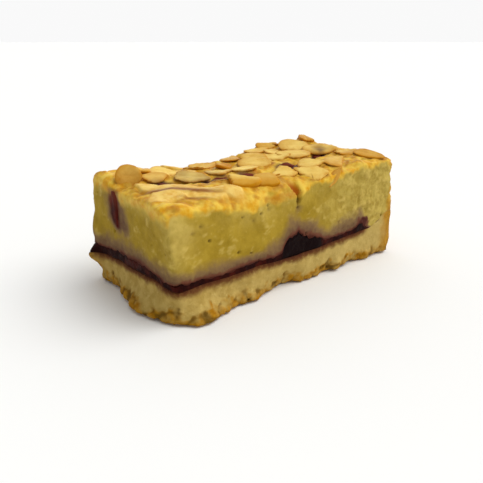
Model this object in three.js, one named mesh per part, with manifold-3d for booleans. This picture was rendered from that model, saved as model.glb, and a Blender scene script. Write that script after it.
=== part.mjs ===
// A slice of bakewell traybake, cut as a bar: shortcrust, raspberry jam and almond sponge, one on the
// other, with flaked almonds baked into the top. Millimetres, +Z up. The bar rests on z = 0 with its
// middle over the origin. X runs along it, from the cut end at -X to the browned end at +X, which stood
// against the tin. The long side at -Y is the cut that shows the layers best.

import * as THREE from 'three';
import { mergeVertices } from 'three/addons/utils/BufferGeometryUtils.js';
import Module from 'manifold-3d';

const wasm = await Module();
wasm.setup();

const { lerp, smoothstep, degToRad } = THREE.MathUtils;

// The bar
const LENGTH = 100;
const WIDTH = 50;
const HALF_LENGTH = LENGTH / 2;
const HALF_WIDTH = WIDTH / 2;
const GAP = 0.3; // left between one solid and the next

// The shortcrust: nearly level, then rising to a lip where it went up the side of the tin
const PASTRY = { height: 10.8, rise: 1.3, riseFrom: 5, riseTo: 38, lip: 6, lipFrom: 37 };
const PASTRY_RIPPLE = 0.35;
const PASTRY_RIPPLE_LENGTH = 28;

// The jam: a thin layer that ends short of the lip. It is thicker at the cut end, and two lumps of it
// break out on the front: a peak with a shoulder on each side of it, and a low one nearer the tin.
const JAM = { depth: 1.5, thinFrom: 32, thinTo: 40, end: 37, ripple: 0.35, rippleLength: 17 };
const JAM_LUMPS = [
  { x: -0.6, y: -HALF_WIDTH, height: 3.9, wide: 2.2, deep: 6 },
  { x: -4.5, y: -HALF_WIDTH, height: 4.6, wide: 2.8, deep: 6 },
  { x: 3.5, y: -HALF_WIDTH, height: 4.2, wide: 7, deep: 7 },
  { x: 32, y: -HALF_WIDTH, height: 2, wide: 3, deep: 6 },
  { x: -HALF_LENGTH, y: 8, height: 1.6, wide: 9, deep: 22 },
];

// The sponge: its top is higher at the tin and at the back of the cut end, and dips between them
const SPONGE = { height: 36.2, rise: 2.2, riseFrom: -5, riseTo: 42 };
const TOP_SWELLS = [
  { x: -6, y: 22, height: -1.8, spread: 15 },
  { x: -46, y: 22, height: 2, spread: 13 },
];
const TOP_RIPPLE = 0.55;
const TOP_RIPPLE_LENGTH = 13;
const TOP_ROUNDING = 1.1; // how far the top drops at a plain edge
const TOP_ROUNDING_REACH = 3.5; // and how far in from that edge the drop begins
const FRONT_SAG = { drop: 3.8, x: -17, wide: 19, reach: 6.5 }; // the front edge is torn lower to the left

// The vein of jam that runs lengthwise through the top of the sponge, in a furrow
const VEIN = { x: 3, y: -6.5, bend: 0.0055, lean: 1.6, start: -50, end: 38 };
const VEIN_DEPTH = [12.5, 4]; // at the cut end and at the other end
const VEIN_WIDTH_TOP = 4.2;
const VEIN_WIDTH_BOTTOM = 1.7;
const VEIN_BELOW_TOP = 0.9;
const VEIN_COLUMNS = 22;
const VEIN_ROOM = 1.2; // how far what makes room for the vein runs out past the cut end
const FURROW_OPENING = 12; // high enough to cut the furrow open above the vein
const FURROW_DEPTH = 0.9;
const FURROW_SPREAD = 4.5;

// The crack in the front of the sponge: a wedge, open at the top and the front
const CRACK = { depth: 3.5, ahead: 5 };
const CRACK_OUTLINE = [[-7, 40], [-2.4, 33.7], [-1, 28], [0.1, 33.4], [1.8, 40]]; // x and height

// Where a wall stands out from the straight cut or has crumbled away: the wall, how far along it and how
// high the place is, its spread along and in height, and how far out it reaches
const CRUMBLE = [
  { wall: 'cut', at: -9, height: 0, wide: 10, tall: 5, out: 4.9 },
  { wall: 'cut', at: 3, height: 1, wide: 4, tall: 4, out: 1.4 },
  { wall: 'cut', at: 24, height: 9.5, wide: 4, tall: 3, out: 3.4 },
  { wall: 'cut', at: 25, height: 0, wide: 4, tall: 4, out: -1.6 },
  { wall: 'cut', at: 25, height: 18, wide: 7, tall: 10, out: 1.5 },
  { wall: 'cut', at: -27, height: 0, wide: 5, tall: 10, out: -2 },
  { wall: 'cut', at: -25, height: 36, wide: 14, tall: 14, out: 2.2 },
  { wall: 'front', at: -43, height: 0, wide: 7, tall: 4.5, out: 4.8 },
  { wall: 'front', at: -34, height: 0, wide: 6, tall: 3.5, out: 1.8 },
  { wall: 'front', at: -22, height: 0, wide: 3, tall: 3, out: 1.8 },
  { wall: 'front', at: -6, height: 0, wide: 6, tall: 4, out: -4 },
  { wall: 'front', at: 14, height: 0, wide: 3.5, tall: 3, out: -1.6 },
  { wall: 'front', at: 19.5, height: 2.5, wide: 2, tall: 2.2, out: 1.8 },
  { wall: 'front', at: 31, height: 0, wide: 6, tall: 4, out: -1.8 },
  { wall: 'back', at: 28, height: 0, wide: 9, tall: 4, out: -2.4 },
  { wall: 'back', at: -20, height: 3, wide: 7, tall: 4, out: 1.8 },
  { wall: 'back', at: 5, height: 0, wide: 4, tall: 3, out: -1.8 },
  { wall: 'tin', at: 0, height: 37, wide: 40, tall: 3.5, out: 0.9 },
  { wall: 'tin', at: 0, height: 10, wide: 60, tall: 16, out: 2.2 },
  { wall: 'tin', at: 0, height: 7, wide: 60, tall: 6, out: 1.3 },
  { wall: 'tin', at: 0, height: 0, wide: 60, tall: 2.4, out: -1.2 },
];
const WALL_RIPPLE = 0.35;
const WALL_RIPPLE_LENGTH = 11;
const WALL_BLEND = 12; // how far inside a wall its shape still tells
const CORNER = 0.6; // how far a corner is drawn in each way
const CORNER_SHARPNESS = 22;

// The flaked almonds that show: where each lies, its size, the way its long axis points, how far it is
// tipped along that axis and rolled about it, in degrees, and where it is snapped off
const FLAKES = [
  { x: -43.8, y: 9.8, long: 9.4, wide: 9, turn: -38, roll: 46, lift: 1.9, thick: 1.2 },
  { x: -28, y: 14, long: 11, wide: 8, turn: -40, roll: 10, lift: 0.5, breaks: [[60, 0.7]] },
  { x: -36, y: 15, long: 8, wide: 6, turn: 50, roll: 6, lift: 0.9, thick: 1.6, breaks: [[10, 0.6]] },
  { x: -25, y: 1.5, long: 12, wide: 8, turn: -42, roll: 6, lift: 0.7, thick: 1.2 },
  { x: -20, y: -7, long: 9, wide: 6, turn: -62, roll: -6, lift: 0.5, thick: 1.2, breaks: [[200, 0.6]] },
  { x: -13.5, y: 1.5, long: 10, wide: 7.5, turn: -35, tip: 4, lift: 0.6, breaks: [[330, 0.7]] },
  { x: -4.5, y: 11, long: 10, wide: 7, turn: 30, roll: 14, lift: 0.8, thick: 1.8, breaks: [[120, 0.7]] },
  { x: 5, y: 4, long: 13, wide: 9, turn: -30, roll: 12, lift: 0.5, breaks: [[250, 0.8]] },
  { x: 10.5, y: 9.5, long: 12, wide: 8.5, turn: -55, roll: 14, lift: 1, breaks: [[20, 0.7]] },
  { x: 26, y: 21, long: 9, wide: 7, turn: -30, roll: 20, lift: 0.8, thick: 1.4, breaks: [[80, 0.6]] },
  { x: 21, y: 12, long: 10, wide: 8, turn: 20, roll: 12, lift: 0.6, breaks: [[140, 0.7], [300, 0.8]] },
  { x: 30.5, y: 10, long: 12.5, wide: 9, turn: -22, roll: 22, lift: 1.4, breaks: [[250, 0.8]] },
  { x: 45, y: 17, long: 10, wide: 7, turn: 60, tip: 8, roll: 8, lift: 1.9, thick: 1.6, breaks: [[200, 0.6]] },
  { x: 36, y: 0.5, long: 14, wide: 8, turn: -38, roll: 14, lift: 1.2 },
  { x: 40, y: -10, long: 12, wide: 7.5, turn: -15, roll: 6, lift: 0.4, breaks: [[180, 0.7]] },
  { x: 43.5, y: -18, long: 12, wide: 8, turn: -65, roll: 6, lift: -0.1 },
  { x: 25, y: -17.5, long: 13, wide: 8, turn: 20, roll: 10, lift: 0.7, breaks: [[300, 0.6]] },
  { x: 16.5, y: -24.1, long: 9.5, wide: 3.4, turn: 8, tip: 30, roll: 35, lift: -1.3, thick: 1.6 },
  { x: 9, y: -20.5, long: 12, wide: 9, turn: -35, roll: 22, lift: 0.4, thick: 1.4,
    breaks: [[215, 0.55], [100, 0.75]] },
  { x: 15.5, y: -14.5, long: 10, wide: 8, turn: -42, roll: 12, lift: 0.9, thick: 1.4,
    breaks: [[50, 0.65], [320, 0.8]] },
  { x: 1.5, y: -15, long: 11, wide: 8, turn: -28, roll: 18, lift: 0.8, thick: 1.6,
    breaks: [[150, 0.6], [20, 0.7]] },
  { x: -17, y: -15, long: 13, wide: 9, turn: -40, roll: 8, lift: 1, thick: 2.8,
    breaks: [[190, 0.6], [70, 0.65]] },
  { x: -9, y: -18.5, long: 10, wide: 7.5, turn: -36, roll: 8, lift: 0.4, thick: 1.8, breaks: [[10, 0.7]] },
  { x: -37, y: -9, long: 22, wide: 9.5, turn: -40, roll: 4, lift: 0.4, thick: 1.2 },
  { x: -44, y: -13, long: 12, wide: 9, turn: -40, roll: 10, lift: -0.2, thick: 1.2, breaks: [[180, 0.75]] },
  { x: -33.5, y: -17.5, long: 15, wide: 9, turn: -36, roll: 12, lift: -0.2, thick: 1.2,
    breaks: [[270, 0.8]] },
];
// The rest lie nearly flat, spread evenly over what is still bare
const FILL = { tries: 60, apart: 6.2, fromVein: 4.5, edge: 3.5, tilt: 9, lift: 0.4 };
const FILL_LONG = [9, 14];
const FILL_WIDE = [6.5, 8.5];
const EVEN_SPREAD = [0.7549, 0.5698]; // steps along and across that never bunch up
const FLAKE_THICKNESS = 1.3;
const FLAKE_SIDES = 10;
const FLAKE_FACE = 0.92; // radius of the flat face, as a share of the whole flake's
const FLAKE_TAPER = 0.2;
const FLAKE_CURL = 0.5;
const SLOPE_STEP = 3.5; // the slope that a flake lies on is taken this far each way

// How finely the block of a layer is divided, and how its rows and columns crowd towards the walls
const COLUMNS = 32;
const ROWS = 12;
const PASTRY_LEVELS = 5;
const JAM_LEVELS = 1;
const SPONGE_LEVELS = 7;
const COLUMN_CROWDING = 0.2;
const ROW_CROWDING = 0.4;

const bell = (distance, spread) => Math.exp(-((distance / spread) ** 2));
const crowd = (t, amount) => (1 - amount) * t + amount * Math.sin((Math.PI / 2) * t);

// A repeatable draw between 0 and 1 for each whole number
function draw(n) {
  const value = Math.sin(n * 12.9898) * 43758.5453;
  return value - Math.floor(value);
}

// Three crossing waves, between -1 and 1
function ripple(a, b, length, phase) {
  const k = (2 * Math.PI) / length;
  const first = Math.sin(k * (a + 0.4 * b) + phase);
  const second = Math.sin(k * (0.7 * b - 0.6 * a) + 2.1 * phase);
  const third = Math.sin(k * (0.5 * a + b) + 3.7 * phase);
  return (first + second + third) / 3;
}

function pastryTop(x, y) {
  const rise = PASTRY.rise * smoothstep(x, PASTRY.riseFrom, PASTRY.riseTo);
  const lip = PASTRY.lip * smoothstep(x, PASTRY.lipFrom, HALF_LENGTH);
  return PASTRY.height + rise + lip + PASTRY_RIPPLE * ripple(x, y, PASTRY_RIPPLE_LENGTH, 1);
}

const jamShare = (x) => 1 - smoothstep(x, JAM.thinFrom, JAM.thinTo);

function jamDepth(x, y) {
  let depth = JAM.depth + JAM.ripple * ripple(x, y, JAM.rippleLength, 2);
  for (const lump of JAM_LUMPS) {
    depth += lump.height * bell(x - lump.x, lump.wide) * bell(y - lump.y, lump.deep);
  }
  return depth * jamShare(x);
}

const jamUnderside = (x, y) => pastryTop(x, y) + GAP;
const jamTop = (x, y) => jamUnderside(x, y) + jamDepth(x, y);
const spongeUnderside = (x, y) => jamTop(x, y) + GAP * jamShare(x);

const veinY = (x) => VEIN.y + VEIN.bend * (x - VEIN.x) ** 2;

// The drop of the top at an edge, from how far inside the edge the point is
const rounding = (inside, drop, reach) => drop * THREE.MathUtils.clamp(1 - inside / reach, 0, 1) ** 2;

function spongeTop(x, y) {
  const rise = SPONGE.rise * smoothstep(x, SPONGE.riseFrom, SPONGE.riseTo);
  let swell = 0;
  for (const place of TOP_SWELLS) {
    swell += place.height * bell(Math.hypot(x - place.x, y - place.y), place.spread);
  }
  const furrowLeft = 1 - smoothstep(x, VEIN.end, HALF_LENGTH);
  const furrow = FURROW_DEPTH * bell(y - veinY(x), FURROW_SPREAD) * furrowLeft;
  const sag = FRONT_SAG.drop * bell(x - FRONT_SAG.x, FRONT_SAG.wide);
  const ends = rounding(HALF_LENGTH - Math.abs(x), TOP_ROUNDING, TOP_ROUNDING_REACH);
  const back = rounding(HALF_WIDTH - y, TOP_ROUNDING, TOP_ROUNDING_REACH);
  const front = rounding(HALF_WIDTH + y, TOP_ROUNDING + sag, FRONT_SAG.reach);
  const relief = TOP_RIPPLE * ripple(x, y, TOP_RIPPLE_LENGTH, 3);
  return SPONGE.height + rise + swell + relief - furrow - ends - back - front;
}

// The turn that lays a level thing on the slope of the top
function topSlope(x, y) {
  const along = (spongeTop(x + SLOPE_STEP, y) - spongeTop(x - SLOPE_STEP, y)) / (2 * SLOPE_STEP);
  const across = (spongeTop(x, y + SLOPE_STEP) - spongeTop(x, y - SLOPE_STEP)) / (2 * SLOPE_STEP);
  const normal = new THREE.Vector3(-along, -across, 1).normalize();
  return new THREE.Quaternion().setFromUnitVectors(new THREE.Vector3(0, 0, 1), normal);
}

// How far a wall stands out from the straight cut
function outward(wall, along, height) {
  const phase = { cut: 4, tin: 5, front: 6, back: 7 }[wall];
  let out = WALL_RIPPLE * ripple(along, height, WALL_RIPPLE_LENGTH, phase);
  for (const spot of CRUMBLE.filter((place) => place.wall === wall)) {
    out += spot.out * bell(along - spot.at, spot.wide) * bell(height - spot.height, spot.tall);
  }
  return out;
}

// Moves a point of the straight bar to its place in the real one: the walls are uneven, and the corners
// are drawn in
function settle(x, y, z) {
  const near = (inside) => 1 - smoothstep(inside, 0, WALL_BLEND);
  const corner = CORNER * (Math.abs(x * y) / (HALF_LENGTH * HALF_WIDTH)) ** CORNER_SHARPNESS;
  const tin = near(HALF_LENGTH - x) * outward('tin', y, z);
  const cut = near(HALF_LENGTH + x) * outward('cut', y, z);
  const back = near(HALF_WIDTH - y) * outward('back', x, z);
  const front = near(HALF_WIDTH + y) * outward('front', x, z);
  const along = x + tin - cut - Math.sign(x) * corner;
  const across = y + back - front - Math.sign(y) * corner;
  return new THREE.Vector3(along, across, z);
}

// A closed geometry as a solid that can be joined and cut
function toSolid(geometry) {
  const bare = geometry.clone();
  bare.deleteAttribute('normal');
  bare.deleteAttribute('uv');
  const merged = mergeVertices(bare, 1e-4);
  const vertProperties = new Float32Array(merged.attributes.position.array);
  const triVerts = new Uint32Array(merged.index.array);
  return new wasm.Manifold(new wasm.Mesh({ numProp: 3, vertProperties, triVerts }));
}

// The largest body of a solid, without the loose scraps and sealed hollows that joining and cutting leave
function mainBody(solid) {
  const bodies = solid.decompose();
  bodies.sort((a, b) => b.volume() - a.volume());
  return bodies[0];
}

function toMesh(name, solid, color, roughness) {
  const { numProp, vertProperties, triVerts } = mainBody(solid).getMesh();
  const geometry = new THREE.BufferGeometry();
  geometry.setAttribute('position', new THREE.BufferAttribute(vertProperties, numProp));
  geometry.setIndex(new THREE.BufferAttribute(triVerts, 1));
  geometry.computeVertexNormals();
  const material = new THREE.MeshStandardMaterial({ color, roughness, metalness: 0 });
  const mesh = new THREE.Mesh(geometry, material);
  mesh.name = name;
  return mesh;
}

// Splits the squares of a block's underside along the same diagonal as those of its top, so that one
// layer's underside fits the top of the layer below it
function alignUnderside(block) {
  const underside = block.groups.at(-1);
  for (let i = underside.start; i < underside.start + underside.count; i += 6) {
    block.index.setX(i + 2, block.index.getX(i + 4));
    block.index.setX(i + 3, block.index.getX(i));
  }
}

// One layer of the bar: a block between two height functions, with the bar's uneven walls
function layer(levels, underside, top) {
  const block = new THREE.BoxGeometry(2, 2, 1, COLUMNS, ROWS, levels);
  alignUnderside(block);
  const points = block.attributes.position;
  for (let i = 0; i < points.count; i += 1) {
    const x = HALF_LENGTH * crowd(points.getX(i), COLUMN_CROWDING);
    const y = HALF_WIDTH * crowd(points.getY(i), ROW_CROWDING);
    const z = lerp(underside(x, y), top(x, y), points.getZ(i) + 0.5);
    const place = settle(x, y, z);
    points.setXYZ(i, place.x, place.y, place.z);
  }
  return toSolid(block);
}

// The vein: a leaning wedge along its furrow. Room for it is larger by margin on all sides, runs out past
// the cut end by ahead, and has its top raised by extra.
function vein(margin = 0, ahead = 0, extra = 0) {
  const block = new THREE.BoxGeometry(1, 1, 1, VEIN_COLUMNS, 1, 2);
  const points = block.attributes.position;
  const end = VEIN.end + margin;
  const start = VEIN.start - ahead;
  for (let i = 0; i < points.count; i += 1) {
    const x = lerp(start, end, points.getX(i) + 0.5);
    const up = points.getZ(i) + 0.5;
    const share = (x - VEIN.start) / (VEIN.end - VEIN.start);
    const width = lerp(VEIN_WIDTH_BOTTOM, VEIN_WIDTH_TOP, up) + 2 * margin;
    const top = spongeTop(Math.max(x, VEIN.start + TOP_ROUNDING_REACH), veinY(x)) - VEIN_BELOW_TOP;
    const bottom = top - lerp(...VEIN_DEPTH, share) - margin;
    const y = veinY(x) + VEIN.lean * (up - 0.5) + points.getY(i) * width;
    const place = settle(x, y, lerp(bottom, top + margin + extra, up));
    points.setXYZ(i, place.x, place.y, place.z);
  }
  return toSolid(block);
}

// One flaked almond: a thin oval slice, blunt at one end and narrower at the other, a little curled. A
// break is an angle and a distance, in half lengths: what lies beyond it is snapped off.
function flake({ x, y, long, wide, turn, tip = 0, roll = 0, lift, thick = FLAKE_THICKNESS, breaks = [] }) {
  const profile = [[0, -0.5], [FLAKE_FACE, -0.5], [1, 0], [FLAKE_FACE, 0.5], [0, 0.5]];
  const slice = new THREE.LatheGeometry(profile.map(([r, h]) => new THREE.Vector2(r, h)), FLAKE_SIDES);
  slice.rotateX(Math.PI / 2);
  const points = slice.attributes.position;
  for (let i = 0; i < points.count; i += 1) {
    let along = points.getX(i);
    let across = points.getY(i) * (1 - FLAKE_TAPER * along);
    for (const [angle, distance] of breaks) {
      const [overLong, overWide] = [Math.cos(degToRad(angle)), Math.sin(degToRad(angle))];
      const beyond = Math.max(along * overLong + across * overWide - distance, 0);
      along -= beyond * overLong;
      across -= beyond * overWide;
    }
    const height = points.getZ(i) * thick + FLAKE_CURL * along ** 2;
    points.setXYZ(i, (along * long) / 2, (across * wide) / 2, height);
  }
  const lie = new THREE.Euler(degToRad(roll), degToRad(-tip), degToRad(turn), 'ZYX');
  slice.applyMatrix4(new THREE.Matrix4().makeRotationFromEuler(lie));
  slice.applyQuaternion(topSlope(x, y));
  slice.translate(x, y, spongeTop(x, y) + lift);
  return toSolid(slice);
}

// Flakes for the bare places: an even spread of tries, of which those that lie clear of the flakes that
// are there already, and of the vein, are kept
function fillingFlakes() {
  const kept = [];
  for (let n = 1; n <= FILL.tries; n += 1) {
    const x = lerp(-1, 1, (n * EVEN_SPREAD[0]) % 1) * (HALF_LENGTH - FILL.edge);
    const y = lerp(-1, 1, (n * EVEN_SPREAD[1]) % 1) * (HALF_WIDTH - FILL.edge);
    const isClose = (other) => Math.hypot(other.x - x, other.y - y) < FILL.apart;
    if ([...FLAKES, ...kept].some(isClose) || Math.abs(y - veinY(x)) < FILL.fromVein) {
      continue;
    }
    const long = lerp(...FILL_LONG, draw(n));
    const wide = lerp(...FILL_WIDE, draw(n + 100));
    const tip = lerp(-1, 1, draw(n + 200)) * FILL.tilt;
    const roll = lerp(-1, 1, draw(n + 300)) * FILL.tilt;
    kept.push({ x, y, long, wide, turn: 180 * draw(n + 400), tip, roll, lift: FILL.lift });
  }
  return kept;
}

// The wedge that the crack in the front takes out of the sponge
function crack() {
  const outline = new THREE.Shape(CRACK_OUTLINE.map(([x, height]) => new THREE.Vector2(x, height)));
  const wedge = new THREE.ExtrudeGeometry(outline, { depth: CRACK.depth + CRACK.ahead, bevelEnabled: false });
  wedge.rotateX(Math.PI / 2);
  wedge.translate(0, CRACK.depth - HALF_WIDTH, 0);
  return toSolid(wedge);
}

// What lies beyond the end of the jam
function beyondJam() {
  const block = new THREE.BoxGeometry(LENGTH, 2 * WIDTH, LENGTH);
  block.translate(JAM.end + HALF_LENGTH, 0, 0);
  return toSolid(block);
}

function pastryBase() {
  return layer(PASTRY_LEVELS, () => 0, pastryTop);
}

function jamLayer() {
  return layer(JAM_LEVELS, jamUnderside, jamTop).subtract(beyondJam());
}

function almondSponge() {
  let sponge = layer(SPONGE_LEVELS, spongeUnderside, spongeTop);
  sponge = sponge.subtract(vein(GAP, VEIN_ROOM, FURROW_OPENING)).subtract(crack());
  for (const place of [...FLAKES, ...fillingFlakes()]) {
    sponge = sponge.add(flake(place));
  }
  return sponge.subtract(vein(GAP, VEIN_ROOM));
}

const slice = new THREE.Group();
slice.add(toMesh('pastry_base', pastryBase(), '#b8985a', 0.85));
slice.add(toMesh('jam_layer', jamLayer(), '#43160f', 0.3));
slice.add(toMesh('jam_vein', vein(), '#561a12', 0.35));
slice.add(toMesh('almond_sponge', almondSponge(), '#b99a45', 0.8));

export default slice;
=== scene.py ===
"""Bakewell slice: crumbly shortcrust, dark jam, almond sponge with a golden crust, and flaked almonds."""

import math

import bpy
import numpy as np
from bpy.props import FloatProperty, FloatVectorProperty, PointerProperty
from mathutils import Euler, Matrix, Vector


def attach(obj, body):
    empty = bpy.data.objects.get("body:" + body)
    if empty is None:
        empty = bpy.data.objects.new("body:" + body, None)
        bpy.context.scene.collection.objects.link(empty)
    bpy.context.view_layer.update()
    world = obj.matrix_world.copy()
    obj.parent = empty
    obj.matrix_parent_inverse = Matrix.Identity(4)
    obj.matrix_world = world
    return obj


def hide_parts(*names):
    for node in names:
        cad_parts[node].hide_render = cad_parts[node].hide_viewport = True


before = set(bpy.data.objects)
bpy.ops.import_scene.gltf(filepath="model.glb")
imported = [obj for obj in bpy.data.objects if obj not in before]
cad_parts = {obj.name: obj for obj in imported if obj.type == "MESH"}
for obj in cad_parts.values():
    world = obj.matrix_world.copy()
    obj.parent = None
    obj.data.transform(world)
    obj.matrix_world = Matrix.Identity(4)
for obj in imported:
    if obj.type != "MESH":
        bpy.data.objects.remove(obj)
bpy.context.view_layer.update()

bl_info = {
    "name": "Bakewell Slice",
    "version": (1, 0, 0),
    "blender": (4, 5, 0),
    "location": "View3D > Sidebar > Bakewell",
    "description": "Builds a bakewell slice from its layers and flaked almonds",
    "category": "Add Mesh",
}

MM = 0.001  # every form below is worked out in millimetres and put into the mesh in metres
BODY = "root"

# The bar: X runs along it from the cut end to the browned end, and -Y is the cut side that shows best
HALF_LENGTH = 50.0
HALF_WIDTH = 25.0

# The shortcrust: nearly level, then rising to a lip where it went up the side of the tin
PASTRY = {"height": 10.8, "rise": 1.3, "rise_from": 5, "rise_to": 38, "lip": 6, "lip_from": 37}
PASTRY_RIPPLE = 0.35
PASTRY_RIPPLE_LENGTH = 28

# The jam: a thin layer that ends short of the lip, with lumps at the front and one at the cut end; each is
# x, y, height, spread along the bar and spread across it
JAM = {"depth": 1.5, "thin_from": 32, "thin_to": 40, "end": 37, "ripple": 0.35, "ripple_length": 17}
JAM_LUMPS = [(-0.6, -25, 3.9, 2.2, 6), (-4.5, -25, 4.6, 2.8, 6), (3.5, -25, 4.2, 7, 7), (32, -25, 2, 3, 6)]
JAM_LUMPS += [(-50, 8, 1.6, 9, 22)]
GAP = 0.3  # the solids of the frame stand this far apart
JAM_RAGGED = 0.28  # the jam's upper edge wanders this far
JAM_PRESSED = 0.3  # and what shows of it is this much thinner, because crumb is smeared over its edges
JAM_TUCK = 0.45  # it goes this far into the pastry and into the sponge
JAM_LEVELS = 16
BEYOND_JAM = 1.2  # where there is no jam, the sponge goes this far into the pastry
# Its wall: how far in its edges lie, how far its middle bulges out again, and how uneven it is; and how
# thick it is where it darkens, and between which x that begins
JAM_WALL = {"in": 0.55, "bulge": 0.5, "edge": (0.2, 0.5), "uneven": 0.12}
JAM_DARK = {"thick": (2.2, 3.6), "from": (-30, -15)}

# The sponge: higher at the tin and at the back of the cut end; swells are (x, y, height, spread)
SPONGE = {"height": 36.2, "rise": 2.2, "rise_from": -5, "rise_to": 42}
TOP_SWELLS = [(-6, 22, -1.8, 15), (-46, 22, 2, 13)]
TOP_RIPPLE = 0.55
TOP_RIPPLE_LENGTH = 13
TOP_ROUNDING = 1.1
TOP_ROUNDING_REACH = 3.5
FRONT_SAG = {"drop": 3.8, "x": -17, "wide": 19, "reach": 6.5}

# The vein of jam in the furrow along the top
VEIN = {"x": 3, "y": -6.5, "bend": 0.0055, "lean": 1.6, "start": -50, "end": 38}
VEIN_DEPTH = (12.5, 4)
VEIN_WIDTH_TOP = 4.2
VEIN_BELOW_TOP = 0.9
VEIN_SHOWS = [(-35, 4), (-17, 7), (-6, 4), (12.5, 5), (34, 4)]  # where it wells up, and how far along
# Its streak on the cut end: heights, and the middle and half width at each; and the stain round it
STREAK = {"height": (21.5, 24.4, 27.6, 31, 35.5), "middle": (7.2, 8.6, 9.3, 9.9, 9.6)}
STREAK.update(half=(0.4, 2.3, 3.1, 3.6, 3.7), wander=0.3, edge=(1.2, 1.4), paler=(5, 2))
HALO = {"beside": 4, "spread": 3.4, "wider": 2.2, "below": 4, "from": 2, "to": 4, "above": 0.5}
# Its bed in the crust: how deep, where its sides rise, where it starts and stops, and how it wanders
BED = {"depth": 1.3, "sides": (VEIN_WIDTH_TOP / 2 - 1, VEIN_WIDTH_TOP / 2 + 0.9)}
BED.update(starts=(-49, -45), stops=(VEIN["end"] - 3, VEIN["end"] + 1))
BED.update(wander=0.8, wander_length=8, phase=12)
# Its upper side: how high it is between the wells, how much higher at them, its ripple, and how high it is
# at the cut end, from where it rises
VEIN_TOP = {"level": -0.7, "wells": 2.4, "ripple": 0.3, "ripple_length": 7, "phase": 4}
VEIN_TOP.update(cut_end=-0.9, rises=(-49, -44))
VEIN_FOOT = 0.7  # its width at the bottom
VEIN_AROUND = 40  # points round each of its sections
FURROW_DEPTH = 0.9
FURROW_SPREAD = 4.5

# The crack in the front: a wedge, open at the top and the front; heights, and its sides at each
CRACK = {"height": (28, 33.5, 40), "left": (-1.2, -2.4, -7), "right": (-0.8, 0.1, 1.8), "depth": 3.5}
CRACK.update(share=0.9, power=0.6, foot_fade=1.5, fades_from=1.5, top_dip=2.5)

# Places where a wall stands out or has crumbled away: place along the wall, height, spread along, spread
# in height, and how far out
CRUMBLE = {
    "cut": [
        (-9, 0, 10, 5, 4.9),
        (3, 1, 4, 4, 1.4),
        (24, 9.5, 4, 3, 3.4),
        (25, 0, 4, 4, -1.6),
        (25, 18, 7, 10, 1.5),
        (-27, 0, 5, 10, -2),
        (-25, 36, 14, 14, 2.2),
    ],
    "front": [
        (-43, 0, 7, 4.5, 4.8),
        (-34, 0, 6, 3.5, 1.8),
        (-22, 0, 3, 3, 1.8),
        (-6, 0, 6, 4, -4),
        (14, 0, 3.5, 3, -1.6),
        (19.5, 2.5, 2, 2.2, 1.8),
        (31, 0, 6, 4, -1.8),
    ],
    "back": [(28, 0, 9, 4, -2.4), (-20, 3, 7, 4, 1.8), (5, 0, 4, 3, -1.8)],
    "tin": [(0, 37, 40, 3.5, 0.9), (0, 10, 60, 16, 2.2), (0, 7, 60, 6, 1.3), (0, 0, 60, 2.4, -1.2)],
}
WALL_RIPPLE = 0.35
WALL_RIPPLE_LENGTH = 11
WALL_PHASE = {"cut": 4, "tin": 5, "front": 6, "back": 7}
WALL_BLEND = 12
CORNER = 0.6
CORNER_SHARPNESS = 22

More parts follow.
